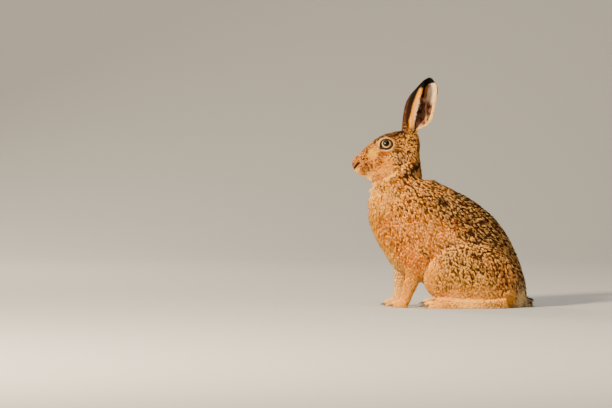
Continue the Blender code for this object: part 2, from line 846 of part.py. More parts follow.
def add_claws(foot, middles, toe, sizes, prefix):
    """Claws at the toe tips of a foot, which gets a pocket for each."""
    length, half, sunk = sizes
    made = []
    for number, middle in enumerate(middles, 1):
        start = middle + Vector((-toe[0] + sunk, 0, CLAW_RISE))
        boolean(foot, claw("pocket", start + Vector((GAP, 0, 0)), length, half, sunk, GAP), "DIFFERENCE")
        made.append(claw(f"{prefix}_{number}", start, length, half, sunk))
    largest_surface(foot)
    return made


def part_body(body):
    """Parts the fused body into its named pieces and drops what is above the neck."""
    pieces = {}
    boolean(body, half_space("above_neck", *HEAD_PLANE), "DIFFERENCE")
    start, reach, length = TAIL_BORE
    pieces["tail"] = split_off(
        body,
        "tail",
        rod("cutter", start, reach, length),
        rod("cutter_grown", start, reach, length, GAP),
    )
    for word, side in SIDES.items():
        foot = split_by_box(body, f"hind_foot_{word}", *box_on_side(*HIND_FOOT_BOX, side))
        pieces[foot.name] = foot
        foreleg = split_by_box(body, f"foreleg_{word}", *box_on_side(*FORELEG_BOX, side))
        paw = split_by_plane(foreleg, f"forepaw_{word}", (0, 0, FOREPAW_TOP), (0, 0, -1))
        largest_surface(foreleg)
        pieces[foreleg.name] = foreleg
        pieces[paw.name] = paw
        for label, (centre, half_x, half_z, tilt, inner, outer) in (
            ("thigh", THIGH_OVAL),
            ("shoulder", SHOULDER_OVAL),
        ):
            sizes = (centre, half_x, half_z, tilt, inner * side, outer * side)
            piece = split_off(
                body,
                f"{label}_{word}",
                oval_block("cutter", *sizes),
                oval_block("cutter_grown", *sizes, grow=GAP),
            )
            pieces[piece.name] = piece
    pieces["neck"] = split_by_plane(body, "neck", *NECK_PLANE)
    pieces["chest"] = split_by_plane(body, "chest", *CHEST_PLANE)
    pieces["rump"] = split_by_plane(body, "rump", *RUMP_PLANE)
    largest_surface(body)
    body.name = "belly"
    pieces["belly"] = body
    return pieces


def part_head(head):
    """Frees the head from the nape under it, and opens its eye sockets and ear pockets."""
    point, normal = HEAD_PLANE
    below = Vector(point) + Vector(normal).normalized() * GAP
    boolean(head, half_space("below_head", below, -Vector(normal)), "DIFFERENCE")
    for word, side in SIDES.items():
        boolean(head, eyeball("socket", side, EYE_RADIUS + GAP + SOCKET_SLACK), "DIFFERENCE")
        boolean(head, ear_plug(word, side, GAP), "DIFFERENCE")
        boolean(head, ear_bore(word, side), "DIFFERENCE")
    largest_surface(head)
    return head


def paint(obj, name, colour, roughness):
    material = bpy.data.materials.get(name) or bpy.data.materials.new(name)
    material.use_nodes = True
    shader = material.node_tree.nodes["Principled BSDF"]
    shader.inputs["Base Color"].default_value = (*colour, 1)
    shader.inputs["Roughness"].default_value = roughness
    shader.inputs["Metallic"].default_value = 0.0
    obj.data.materials.clear()
    obj.data.materials.append(material)


def finish_for(name):
    if name.startswith("eye"):
        return "eye_amber", *EYE_AMBER
    if "claw" in name:
        return "claw_horn", *CLAW_HORN
    if name == "tail":
        return "tail_black", *TAIL_BLACK
    if name.startswith(("chest", "foreleg", "forepaw")):
        return "coat_orange", *COAT_ORANGE
    if name.startswith(("ear", "hind_foot")):
        return "coat_buff", *COAT_BUFF
    return "coat_brown", *COAT_BROWN


def settle(pieces):
    """Scales the pieces to metres and sets the middle of the whole over the origin."""
    points = np.vstack([np.array([v.co for v in piece.data.vertices]) for piece in pieces])
    low, high = points.min(0), points.max(0)
    middle = Vector(((low[0] + high[0]) / 2, (low[1] + high[1]) / 2, low[2]))
    print("moved by", [round(-c, 4) for c in middle], "mm")
    to_metres = Matrix.Diagonal((0.001, 0.001, 0.001, 1)) @ Matrix.Translation(-middle)
    collection = bpy.data.collections.new("brown_hare")
    bpy.context.scene.collection.children.link(collection)
    for piece in pieces:
        piece.data.transform(to_metres)
        bpy.context.scene.collection.objects.unlink(piece)
        collection.objects.link(piece)
        paint(piece, *finish_for(piece.name))
        print(piece.name, len(piece.data.polygons), "faces")


def main():
    clear_scene()
    pieces = part_body(build_body())
    claws = []
    for word, side in SIDES.items():
        ankle = rows_on_side(FORELEG[word], side)[-1]
        claws += add_claws(
            pieces[f"forepaw_{word}"],
            fore_toe_middles(ankle),
            FORE_TOE,
            FORE_CLAW,
            f"fore_claw_{word}",
        )
        claws += add_claws(
            pieces[f"hind_foot_{word}"],
            hind_toe_middles(side),
            HIND_TOE,
            HIND_CLAW,
            f"hind_claw_{word}",
        )
    made = list(pieces.values()) + claws
    made.append(part_head(build_head()))
    for word, side in SIDES.items():
        made.append(build_ear(word, side))
        made.append(eyeball(f"eye_{word}", side, EYE_RADIUS))
    settle(made)


main()
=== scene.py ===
# %% [markdown]
# # A brown hare in its coat
#
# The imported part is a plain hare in 36 solids. This lesson dresses it: one skin in place of the
# flesh, a coat of tufts that lie as the hair lies, and finer eyes, lids, claws and whiskers.
# Places are given in millimetres on the drawing that the solids were made from, where the hare
# faces -X, its left side is towards -Y and the floor is at z = 0.

# %% Load the frame and the tools
import math
from collections import namedtuple

import bmesh
import bpy
import numpy as np
from mathutils import Matrix, Vector
from mathutils.bvhtree import BVHTree
from mathutils.kdtree import KDTree


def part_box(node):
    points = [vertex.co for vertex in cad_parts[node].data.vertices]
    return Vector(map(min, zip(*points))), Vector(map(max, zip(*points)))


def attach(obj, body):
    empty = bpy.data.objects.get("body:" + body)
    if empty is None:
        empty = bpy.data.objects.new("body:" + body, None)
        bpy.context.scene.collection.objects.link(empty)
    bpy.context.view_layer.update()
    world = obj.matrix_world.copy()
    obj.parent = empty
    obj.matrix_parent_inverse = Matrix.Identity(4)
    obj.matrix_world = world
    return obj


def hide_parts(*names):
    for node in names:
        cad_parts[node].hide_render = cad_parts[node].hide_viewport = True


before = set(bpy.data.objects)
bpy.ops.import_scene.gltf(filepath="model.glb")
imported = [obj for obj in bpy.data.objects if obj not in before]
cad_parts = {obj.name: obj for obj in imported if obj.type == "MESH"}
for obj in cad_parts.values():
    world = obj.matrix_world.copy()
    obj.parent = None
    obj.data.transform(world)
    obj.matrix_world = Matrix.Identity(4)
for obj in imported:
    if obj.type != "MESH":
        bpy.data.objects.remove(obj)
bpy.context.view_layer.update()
rng = np.random.default_rng(11)
print("nodes in the frame:", len(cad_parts))

# %% [markdown]
# The solids were moved so that their middle stands over the origin. The left eye says by how
# much, and the two functions below go from the drawing to the frame and back.

# %% Go between the drawing and the frame
DRAWN_EYE = np.array((-94.9, -17.2, 301.0))
eye_low, eye_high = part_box("eye_left")
moved = (eye_low.x + eye_high.x) * 500 - DRAWN_EYE[0]
print("the drawing is moved by", round(moved, 2), "mm along X")


def to_plan(points):
    return np.asarray(points, float) * 1000 - (moved, 0, 0)


def to_frame(points):
    return (np.asarray(points, float) + (moved, 0, 0)) / 1000


def mirrored(points):
    """Places or directions of the right side as if they were on the left."""
    found = np.array(points, float)
    found[:, 1] = -np.abs(found[:, 1])
    return found


# %% [markdown]
# An eye looks out to its side, a little forward and up. Places near it are measured from that line
# of sight: how far round the opening of the lids they lie, as on an oval that is longer than high,
# and how far out along the line.

# %% Measure places round the eyes
EYE_FORWARD = math.radians(8)
EYE_UP = math.radians(6)
EYE_LONG = 1.06
EYE_HIGH = 0.88
EYE_DEEPEST = -4
FAR_OFF = 99


def look_of(side):
    across = math.cos(EYE_FORWARD) * math.cos(EYE_UP)
    return np.array((-math.sin(EYE_FORWARD), side * across, math.sin(EYE_UP)))


def eye_axes(side):
    """The line of sight, the way to the nose and the way up, seen from the eye."""
    look = look_of(side)
    fore = np.array((-1.0, 0, 0))
    fore -= look * fore.dot(look)
    fore /= np.linalg.norm(fore)
    up = np.cross(look, fore) * side
    return look, fore, up * np.sign(up[2])


def eye_measure(points):
    """How far from the middle of the lids' opening, how far out, and the way off the line of sight."""
    look, fore, up = eye_axes(-1)
    away = mirrored(points) - DRAWN_EYE
    long, high = away @ fore, away @ up
    outward = long[:, None] * fore + high[:, None] * up
    outward /= np.linalg.norm(outward, axis=1)[:, None] + 1e-9
    outward[:, 1] *= np.where(np.asarray(points)[:, 1] > 0, -1, 1)
    around = np.hypot(long / EYE_LONG, high / EYE_HIGH)
    out = away @ look
    return np.where(out > EYE_DEEPEST, around, FAR_OFF), out, outward


# %% [markdown]
# Colours are read off the photo and written as 0 to 255, as a picture editor shows them.
# The render wants them linear.


# %% Name the colours of the coat
def linear(red, green, blue):
    share = np.array((red, green, blue)) / 255
    return np.where(share < 0.04045, share / 12.92, ((share + 0.055) / 1.055) ** 2.4)


HAIR = {
    "black": linear(16, 10, 7),
    "umber": linear(58, 31, 14),
    "dusk": linear(100, 62, 36),
    "brown": linear(138, 80, 32),
    "grey": linear(172, 134, 92),
    "rust": linear(176, 82, 22),
    "tawny": linear(222, 134, 52),
    "orange": linear(255, 150, 28),
    "gold": linear(255, 172, 34),
    "yellow": linear(255, 194, 18),
    "buff": linear(250, 168, 52),
    "sand": linear(255, 190, 74),
    "cream": linear(255, 204, 120),
    "white": linear(255, 234, 196),
    "pink": linear(216, 158, 124),
}

# %% [markdown]
# The guides say how the coat lies. Each gives a place on the left side, the way the hair points
# there, its length, the colour of the band that shows, the share of tufts with a dark end and the
# share with a pale one. Any other place takes a blend of the guides near it.

# %% Lay out the guides of the coat
GUIDES = (
    # place, way of the hair, length, band, dark share, pale share
    ((-156, 0, 270), (0.6, 0, 0.8), 2.6, "tawny", 0.24, 0.30),
    ((-135, 6, 292), (0.8, 0, 0.6), 3.6, "tawny", 0.50, 0.22),
    ((-106, 8, 315), (0.9, 0, 0.35), 5.0, "brown", 0.62, 0.20),
    ((-76, 8, 326), (1, 0, 0.05), 6.5, "brown", 0.8, 0.1),
    ((-52, 0, 326), (0.9, 0, -0.2), 6.5, "brown", 0.70, 0.18),
    ((-142, 15, 270), (0.95, 0.1, 0.1), 3.2, "tawny", 0.34, 0.25),
    ((-151, 9, 254), (0.6, 0.3, -0.7), 3.0, "tawny", 0.35, 0.20),
    ((-141, 17, 254), (0.85, 0.2, -0.45), 3.8, "orange", 0.42, 0.16),
    ((-146, 3, 242), (0.9, 0, -0.3), 5.0, "cream", 0.02, 0.70),
    ((-124, 5, 235), (0.9, 0, -0.4), 8.0, "cream", 0.05, 0.60),
    ((-120, 20, 284), (0.95, 0, 0.15), 4.6, "gold", 0.20, 0.30),
    ((-118, 22, 262), (0.95, 0, -0.3), 5.0, "orange", 0.36, 0.25),
    ((-112, 18, 246), (0.75, 0.1, -0.65), 8.0, "gold", 0.12, 0.40),
    ((-96, 26, 266), (0.93, 0, -0.35), 6.0, "gold", 0.14, 0.35),
    ((-76, 28, 272), (0.85, 0, -0.5), 7.0, "gold", 0.46, 0.36),
    ((-90, 22, 246), (0.7, 0.1, -0.7), 9.0, "sand", 0.10, 0.55),
    ((-74, 28, 304), (0.9, 0, -0.3), 5.5, "tawny", 0.62, 0.22),
    ((-56, 26, 306), (0.6, 0, -0.8), 6.5, "buff", 0.34, 0.40),
    ((-34, 8, 306), (0.1, 0, -1), 7.5, "tawny", 0.44, 0.32),
    ((-34, 0, 280), (0.15, 0, -1), 9.0, "tawny", 0.30, 0.15),
    ((-27, 0, 252), (0.4, 0, -0.9), 11.0, "tawny", 0.40, 0.20),
    ((-42, 32, 235), (0.4, 0, -0.9), 11.0, "tawny", 0.44, 0.38),
    ((-58, 29, 276), (0.5, 0, -0.86), 8.5, "tawny", 0.48, 0.36),
    ((-54, 31, 252), (0.4, 0, -0.92), 11.0, "tawny", 0.35, 0.30),
    ((-80, 34, 228), (0.35, 0.1, -0.93), 10.5, "orange", 0.28, 0.46),
    ((-112, 8, 230), (0.3, 0, -0.95), 5.5, "sand", 0.03, 0.35),
    ((-121, 8, 220), (0.1, 0, -1), 7.5, "sand", 0.05, 0.4),
    ((-98, 26, 230), (0.3, 0.1, -0.95), 10.5, "gold", 0.24, 0.45),
    ((-124, 10, 205), (0.15, 0, -1), 13.0, "gold", 0.14, 0.36),
    ((-126, 12, 172), (0.1, 0, -1), 15.0, "gold", 0.12, 0.36),
    ((-113, 15, 132), (0.35, 0, -0.93), 16.0, "gold", 0.12, 0.34),
    ((-92, 12, 92), (0.5, 0, -0.86), 17.0, "sand", 0.03, 0.40),
    ((-60, 0, 66), (0.85, 0, -0.4), 14.0, "cream", 0.02, 0.70),
    ((-104, 38, 190), (0.25, 0, -0.96), 13.0, "gold", 0.16, 0.36),
    ((-98, 42, 150), (0.3, 0, -0.95), 13.0, "orange", 0.24, 0.26),
    ((-76, 46, 108), (0.3, 0, -0.95), 12.0, "orange", 0.30, 0.22),
    ((-52, 44, 92), (0.15, 0, -1), 11.0, "orange", 0.16, 0.16),
    ((-66, 48, 190), (0.4, 0.1, -0.9), 11.0, "orange", 0.34, 0.48),
    ((-52, 55, 150), (0.35, 0, -0.93), 11.0, "orange", 0.22, 0.52),
    ((-24, 54, 110), (0.35, 0, -0.93), 11.0, "orange", 0.18, 0.54),
    ((0, 0, 229), (0.9, 0, -0.4), 8.5, "tawny", 0.6, 0.23),
    ((-10, 30, 214), (0.75, 0.2, -0.6), 9.5, "tawny", 0.54, 0.31),
    ((50, 0, 200), (0.85, 0, -0.55), 11.5, "brown", 0.68, 0.22),
    ((98, 0, 162), (0.7, 0, -0.75), 12.0, "brown", 0.62, 0.28),
    ((132, 0, 110), (0.4, 0, -0.92), 12.0, "brown", 0.60, 0.30),
    ((152, 0, 52), (0.1, 0, -1), 12.0, "brown", 0.60, 0.24),
    ((30, 45, 178), (0.7, 0, -0.7), 10.5, "brown", 0.46, 0.40),
    ((80, 45, 138), (0.6, 0, -0.8), 10.5, "brown", 0.70, 0.22),
    ((4, 55, 140), (0.5, 0, -0.86), 10.5, "orange", 0.17, 0.66),
    ((26, 62, 104), (0.45, 0, -0.9), 10.5, "tawny", 0.36, 0.60),
    ((84, 70, 96), (0.5, 0, -0.86), 10.5, "tawny", 0.48, 0.44),
    ((116, 62, 84), (0.35, 0, -0.93), 10.5, "tawny", 0.50, 0.36),
    ((58, 78, 62), (0.35, 0, -0.93), 10.0, "buff", 0.38, 0.55),
    ((122, 58, 50), (0.15, 0, -1), 10.5, "tawny", 0.36, 0.38),
    ((-24, 56, 62), (0.2, 0, -0.98), 8.5, "gold", 0.04, 0.35),
    ((-20, 60, 34), (-0.1, 0, -1), 7.0, "buff", 0.06, 0.35),
    ((0, 74, 40), (0.1, 0, -1), 10.0, "buff", 0.30, 0.50),
    ((60, 72, 28), (0, 0, -1), 10.0, "buff", 0.22, 0.40),
    ((-48, 32, 62), (-0.05, 0, -1), 7.0, "gold", 0.05, 0.20),
    ((-58, 26, 30), (-0.2, 0, -0.98), 5.0, "buff", 0.05, 0.25),
    ((-70, 26, 12), (-0.9, 0, -0.4), 4.2, "buff", 0.04, 0.30),
    ((-90, 25, 8), (-0.95, 0, -0.3), 3.6, "sand", 0.02, 0.40),
    ((60, 60, 15), (-0.9, 0.1, -0.3), 7.0, "sand", 0.06, 0.45),
    ((0, 56, 16), (-0.96, 0, -0.2), 5.5, "buff", 0.04, 0.40),
    ((-22, 55, 9), (-0.95, 0, -0.3), 4.2, "sand", 0.02, 0.45),
    ((128, 54, 14), (0.2, 0, -1), 7.0, "buff", 0.15, 0.35),
    ((20, 0, 40), (0.9, 0, -0.3), 12.0, "white", 0.0, 0.8),
    ((-20, 24, 52), (0.8, 0.2, -0.5), 11.0, "cream", 0.0, 0.7),
    ((148, 0, 30), (0.85, 0, -0.5), 14.0, "black", 0.9, 0.0),
    ((166, 0, 14), (0.95, 0, -0.3), 13.0, "black", 0.8, 0.05),
    ((152, 14, 14), (0.9, 0.25, -0.3), 13.0, "white", 0.0, 0.9),
    ((158, 8, 3), (0.95, 0, -0.1), 12.0, "white", 0.0, 0.9),
)
GUIDE_SOFTNESS = 9.0
print("guides:", len(GUIDES))


# %% Blend the guides
def read_guides(points):
    """The way of the hair, its length, its band colour and its dark and pale shares at each place."""
    near = mirrored(points)
    places = np.array([row[0] for row in GUIDES], float) * (1, -1, 1)
    ways = np.array([row[1] for row in GUIDES], float) * (1, -1, 1)
    ways /= np.linalg.norm(ways, axis=1)[:, None]
    bands = np.array([HAIR[row[3]] for row in GUIDES])
    facts = np.array([(row[2], row[4], row[5]) for row in GUIDES], float)
    square = ((near[:, None, :] - places[None]) ** 2).sum(2)
    weight = 1 / (square + GUIDE_SOFTNESS**2) ** 2
    weight /= weight.sum(1)[:, None]
    way = weight @ ways
    way[:, 1] *= np.where(np.asarray(points)[:, 1] > 0, -1, 1)
    length, dark, pale = (weight @ facts).T
    return way, length, weight @ bands, dark, pale


# %% [markdown]
# Markings are laid over the guides, and so are painted shadows. A spot is soft, and longer one way
# than another where its reaches differ. A line follows a path of the side view; three lines are
# painted shadows: of the fold between head and neck, under the jaw and along the elbow. Each mixes
# its colour into the band and changes the dark and pale shares.

# %% Lay out the markings and the painted shadow lines
SPOTS = (
    # place, reach, colour, strength, dark share, pale share
    ((-88, 18, 323), (10, 16, 5.5), "rust", 1.0, 0.4, 0.0),
    ((-100, 27, 285), (14, 14, 6), "rust", 0.95, 0.2, 0.05),
    ((-121, 20, 286), (9, 14, 8.5), "yellow", 1.0, 0.0, 0.1),
    ((-108, 24, 273), (7, 12, 13), "rust", 0.7, 0.45, 0.05),
    ((-77, 28, 291), (5, 12, 8), "umber", 0.8, 0.7, 0.05),
    ((-72, 30, 272), (12, 12, 12), "pink", 0.6, 0.35, 0.35),
    ((-93, 26, 261), (15, 14, 9), "orange", 0.6, 0.06, 0.3),
    ((-149, 9, 250), (6.5, 14, 7), "cream", 1.0, 0.0, 0.7),
    ((-158, 2, 264), (4.5, 8, 6), "dusk", 0.8, 0.4, 0.0),
    ((-131, 18, 260), (9, 12, 9), "rust", 0.6, 0.5, 0.1),
    # painted shade in the corner of the mouth
    ((-137, 15, 243), (4, 8, 3), "umber", 0.9, 0.9, 0.0),
    ((-68, 24, 325), (13, 18, 8), "umber", 0.9, 0.8, 0.08),
    ((-62, 14, 332), (9, 14, 6), "tawny", 0.8, 0.5, 0.2),
    ((-33, 10, 290), (4, 20, 26), "umber", 0.6, 0.6, 0.0),
    ((6, 40, 196), (13, 26, 9), "umber", 0.85, 0.85, 0.05),
    ((31, 50, 152), (18, 28, 13), "rust", 0.55, 0.42, 0.12),
    ((-38, 48, 84), (16, 24, 20), "orange", 0.9, 0.12, 0.12),
    ((-78, 46, 204), (18, 24, 12), "sand", 0.5, 0.25, 0.5),
    ((-102, 30, 130), (12, 24, 30), "orange", 0.5, 0.18, 0.2),
    ((-14, 66, 60), (14, 26, 24), "gold", 0.7, 0.0, 0.3),
    ((-78, 24, 44), (10, 24, 30), "cream", 0.8, 0.0, 0.4),
)
LINES = (
    # path in the side view, width, colour, strength, dark share, pale share
    # painted shadow of the fold between head and neck, on the side of the neck
    (((-36, 262), (-44, 256), (-58, 244)), 6.0, "umber", 0.9, 0.85, 0.03),
    # painted shadow under the jaw
    (((-58, 244), (-70, 240), (-84, 240.5)), 1.9, "umber", 0.6, 0.7, 0.0),
    (((-118, 305), (-110, 311), (-101, 316)), 2.0, "umber", 0.8, 0.7, 0.0),
    # painted shadow along the elbow's outline, between the foreleg and the thigh
    (((-32, 107), (-19.6, 93), (-18.5, 87), (-22, 76), (-27, 64)), 3.0, "umber", 0.5, 0.5, 0.1),
)
LINE_FADE = 16  # a line is full this far from the middle of the back, and faint over it
LINE_LEAST = 0.15
DOTS = (  # dark dots on the whisker pad, in the side view
    *((-138, 273), (-132, 275), (-123, 270), (-132, 265)),
    *((-124, 261), (-135, 259), (-128, 255), (-139, 253)),
)
DOT_REACH = 2.0
RING_START = 12  # the pale ring round the eye starts here and fades over its reach
RING_REACH = 3.3
print("spots, lines and dots:", len(SPOTS), len(LINES), len(DOTS))


# %% Lay the markings and the painted shadows over the guides
def path_distance(points, path):
    """The distance from each point to a path of straight runs, in as many axes as the path has."""
    best = np.full(len(points), 1e9)
    for a, b in zip(np.array(path[:-1], float), np.array(path[1:], float)):
        share = np.clip((points - a) @ (b - a) / ((b - a) @ (b - a)), 0, 1)
        best = np.minimum(best, np.linalg.norm(points - a - share[:, None] * (b - a), axis=1))
    return best


def min_distance(points, places):
    """The distance from each point to the nearest of these places."""
    return np.min([np.linalg.norm(points - place, axis=1) for place in np.array(places)], axis=0)


def colours_at(points):
    """The band colour and the dark and pale shares of each place, with the markings and the painted
    shadows.
    """
    way, length, band, dark, pale = read_guides(points)
    near = mirrored(points)
    marks = []
    for place, reach, *mark in SPOTS:
        away = (near - np.array(place) * (1, -1, 1)) / reach
        marks.append((np.exp(-((away**2).sum(1) ** 1.5)), mark))
    for path, wide, *mark in LINES:
        share = np.exp(-((path_distance(near[:, ::2], path) / wide) ** 3))
        aside = np.clip(np.abs(near[:, 1]) / LINE_FADE - 0.1, LINE_LEAST, 1)
        marks.append((share * aside, mark))
    dots = min_distance(near[:, ::2], DOTS)
    marks.append((np.exp(-((dots / DOT_REACH) ** 3)), ("umber", 0.75, 0.75, 0.0)))
    around = eye_measure(points)[0]
    ring = np.exp(-((np.maximum(around - RING_START, 0) / RING_REACH) ** 3))
    marks.append((ring, ("cream", 0.95, 0.0, 0.6)))
    for share, (colour, strength, its_dark, its_pale) in marks:
        share = share * strength
        band = band + (HAIR[colour] - band) * share[:, None]
        dark = dark + (its_dark - dark) * share
        pale = pale + (its_pale - pale) * share
    return band, dark, pale


# %% [markdown]
# Even noise makes patches of any size. It is the same in every run. A soft step goes from 0 to 1
# between two values, either way round.


# %% Make the noise and the soft steps
def soft_step(low, high, value):
    share = np.clip((value - low) / (high - low), 0, 1)
    return share * share * (3 - 2 * share)


def mix(colour, other, share):
    return colour + (HAIR[other] - colour) * share[:, None]


def cloud(points, size, seed):
    """Soft noise from 0 to 1 over space, with patches about this many millimetres across."""
    grid = np.asarray(points, float) / size + seed * 37.7
    cell = np.floor(grid).astype(np.int64)
    part = grid - cell
    part = part * part * (3 - 2 * part)
    total = np.zeros(len(grid))
    for corner in np.ndindex(2, 2, 2):
        x, y, z = (cell + corner).T
        mixed = (x * 73856093) ^ (y * 19349663) ^ (z * 83492791) ^ (seed * 2654435761)
        mixed = (mixed ^ (mixed >> 13)) * 1274126177 & 0x7FFFFFFF
        value = ((mixed ^ (mixed >> 16)) & 0xFFFF) / 0xFFFF
        total += value * np.prod(np.where(corner, part, 1 - part), axis=1)
    return total


# %% [markdown]
# The ear is a rolled sheet. Its rows give the place along it, the radius and arc of its hind part
# and of its front fold, as in the solids. From them any point near an ear is told how far along
# it is, how far round, from -1 at the hind margin to 1 at the front one, and which side it is on.

# %% Measure places on the ears
EAR_ROOT = np.array((-53.0, -14.0, 316.5))
EAR_LENGTH = 114.0
EAR_OUT = math.radians(9.0)
EAR_TURN = math.radians(17.0)
EAR_STANCE = {-1: (0.0, math.radians(20.0), 9.5), 1: (-7.5, math.radians(26.5), 12.0)}
EAR_ROWS = np.array(
    (  # place along the ear, radius and arc of the hind part, radius and arc of the front fold
        (0.00, 8.5, 23.5, 8.5, 25),
        (0.12, 11, 25, 7.8, 28),
        (0.18, 15, 32, 8.2, 30.5),
        (0.25, 21, 41.5, 9.3, 32.5),
        (0.32, 29, 45, 10.4, 35),
        (0.39, 33, 46, 11.6, 37.5),
        (0.47, 34, 47, 13, 41),
        (0.57, 34, 43, 13.6, 41.5),
        (0.66, 34, 39.5, 13.4, 39),
        (0.74, 34, 35, 12.4, 34),
        (0.82, 34, 29.5, 11, 28),
        (0.90, 31, 23, 9, 19.5),
        (0.96, 25, 15.5, 7.5, 12),
        (1.00, 14, 4, 6, 3),
    )
)
print("rows of an ear:", len(EAR_ROWS))


# %% Tell where a point lies on an ear
def ear_axes(side):
    ahead, lean, bow = EAR_STANCE[side]
    along = np.array((math.sin(lean), side * math.sin(EAR_OUT), math.cos(lean)))
    along /= np.linalg.norm(along)
    opening = np.array((math.sin(EAR_TURN), side * math.cos(EAR_TURN), 0))
    opening -= along * opening.dot(along)
    opening /= np.linalg.norm(opening)
    front = np.cross(along, opening)
    front *= -np.sign(front[0])
    root = EAR_ROOT * (1, -side, 1) + (ahead, 0, 0)
    return root, along, opening, front, bow


EAR_ROOM = 4.5  # what is farther than this from the rolled sheet is not ear
EarSpot = namedtuple("EarSpot", "share place around inner ahead round_way")


def ear_measure(points, normals, side):
    """Where each point lies on one ear. The share is 0 off the ear and 1 well up it."""
    root, along, opening, front, bow = ear_axes(side)
    away = points - root
    place = away @ along / EAR_LENGTH
    row = [np.interp(place, EAR_ROWS[:, 0], EAR_ROWS[:, k]) for k in range(5)]
    hind_radius, hind_arc, fold_radius, fold_arc = row[1:]
    u = away @ front - bow * np.sin(np.pi * np.clip(place, 0, 1))
    v = away @ opening
    edge = np.interp(place, (0.12, 0.2), (-5.2, -6.0))
    hind = (u < 0) & ((v < 0) | (u < edge))
    radius = np.where(hind, hind_radius, fold_radius)
    rise = radius - np.minimum(hind_radius, fold_radius) - v
    turn = np.arctan2(np.where(hind, -u, u), rise) % (2 * np.pi)
    around = np.where(hind, -turn * hind_radius / hind_arc, turn * fold_radius / fold_arc)
    inward = -u[:, None] * front + rise[:, None] * opening
    inner = (inward * normals).sum(1) > 0
    forward = np.where(hind, -1, 1) * np.cos(turn)
    round_way = forward[:, None] * front + np.sin(turn)[:, None] * opening
    near = (np.abs(np.hypot(u, rise) - radius) < EAR_ROOM) & (points[:, 1] * side > 0)
    share = soft_step(0.06, 0.2, place) * near
    return EarSpot(share, place, around, inner, u, round_way)


def ear_shares(points, normals):
    return sum(ear_measure(points, normals, side).share for side in (-1, 1))


HEAD_LINE = (-52, 249, 0.44)  # a point of the slanting line from throat to nape, and its slope


def on_head(points):
    x, z, slope = HEAD_LINE
    return points[:, 2] > z + slope * (points[:, 0] - x)


# %% [markdown]
# A real hare has one skin, while the part has a solid for each of its members. The skin starts as
# all these solids, swollen a little so that their thin gaps close, and made one surface by voxels.
# Joining them by Booleans would keep sharp seams, which voxels and smoothing melt away.

# %% Fuse the flesh into one skin
FLESH = sorted(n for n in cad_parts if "claw" not in n and not n.startswith("eye"))
SWELL = 0.0004
SKIN_VOXEL = 0.00125
SKIN_TRIANGLES = 230000


def placed(name, data):
    """A new object in the scene."""
    obj = bpy.data.objects.new(name, data)
    bpy.context.scene.collection.objects.link(obj)
    return obj


def fused_flesh():
    bm = bmesh.new()
    for name in FLESH:
        bm.from_mesh(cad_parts[name].data)
    bmesh.ops.remove_doubles(bm, verts=bm.verts, dist=1e-6)
    bm.normal_update()
    for vert in bm.verts:
        vert.co += vert.normal * SWELL
    mesh = bpy.data.meshes.new("skin")
    bm.to_mesh(mesh)
    bm.free()
    return placed("skin", mesh)


def applied(obj):
    graph = bpy.context.evaluated_depsgraph_get()
    mesh = bpy.data.meshes.new_from_object(obj.evaluated_get(graph))
    obj.modifiers.clear()
    obj.data = mesh
    return obj


def places_of(obj):
    found = np.empty(len(obj.data.vertices) * 3)
    obj.data.vertices.foreach_get("co", found)
    return to_plan(found.reshape(-1, 3))


def normals_of(obj):
    found = np.empty(len(obj.data.vertices) * 3, np.float32)
    obj.data.vertex_normals.foreach_get("vector", found)
    return found.reshape(-1, 3).astype(float)


def set_places(obj, points):
    obj.data.vertices.foreach_set("co", to_frame(points).ravel())
    obj.data.update()


def weighted_group(obj, name, weights):
    group = obj.vertex_groups.new(name=name)
    for level in np.unique(weights):
        group.add(np.flatnonzero(weights == level).tolist(), float(level), "REPLACE")


skin = fused_flesh()
remesh = skin.modifiers.new("fuse", "REMESH")
remesh.mode = "VOXEL"
remesh.voxel_size = SKIN_VOXEL
applied(skin)
print("fused skin:", len(skin.data.vertices), "points")

# %% [markdown]
# Muscles under a hare's skin pass softly into each other. Smoothing does that for the creases
# between the solids. A group of weights holds it back where forms are small: on the ears, the head,
# the feet and the forelegs.

# %% Soften the skin, least where forms are small
EAR_SOFTNESS = 0.1
SMALL_SOFTNESS = 0.18
FEET_UNDER = 26
FORELEGS_BEFORE = -40
FORELEGS_UNDER = 75
SOFTENING = 50

points = places_of(skin)
ear_share = ear_shares(points, normals_of(skin))
of_foreleg = (points[:, 0] < FORELEGS_BEFORE) & (points[:, 2] < FORELEGS_UNDER)
small = on_head(points) | (points[:, 2] < FEET_UNDER) | of_foreleg
softness = np.where(ear_share > 0, EAR_SOFTNESS, np.where(small, SMALL_SOFTNESS, 1.0))
weighted_group(skin, "soft", softness)
soften = skin.modifiers.new("soften", "SMOOTH")
soften.factor = 0.5
soften.iterations = SOFTENING
soften.vertex_group = "soft"
applied(skin)
print("softened most:", int((softness == 1).sum()), "points")

# %% [markdown]
# Then it is sunk by the depth of the coat: little on the ears and at the lids, and little in the
# hollow of the throat, which has no room for a thick coat.

# %% Sink the skin by the depth of the coat
DEPTH_SHARE = 0.38
EAR_DEPTH = 0.7
LID_DEPTH = 0.6
LID_NEAR, LID_FAR = 13, 19
HOLLOWS = (
    # place in the side view, reach, how far the skin comes forward there
    ((-112, 230), 10, 5.0),
    ((-118, 240), 12, 1.5),
)
FLOOR_ROOM = 6
FLOOR_LEAST = 0.12


def sunk_depth(points):
    depth = DEPTH_SHARE * read_guides(points)[1]
    for (x, z), reach, forward in HOLLOWS:
        away = np.hypot(points[:, 0] - x, points[:, 2] - z)
        share = np.exp(-((away / reach) ** 2))
        depth -= (depth + forward) * share
    around = eye_measure(points)[0]
    depth += (LID_DEPTH - depth) * soft_step(LID_FAR, LID_NEAR, around)
    depth += (EAR_DEPTH - depth) * ear_share
    return depth * np.clip(points[:, 2] / FLOOR_ROOM, FLOOR_LEAST, 1)


points = places_of(skin)
depth = sunk_depth(points)
set_places(skin, points - normals_of(skin) * depth[:, None])
print("sunk by", round(float(depth.min()), 1), "to", round(float(depth.max()), 1), "mm")
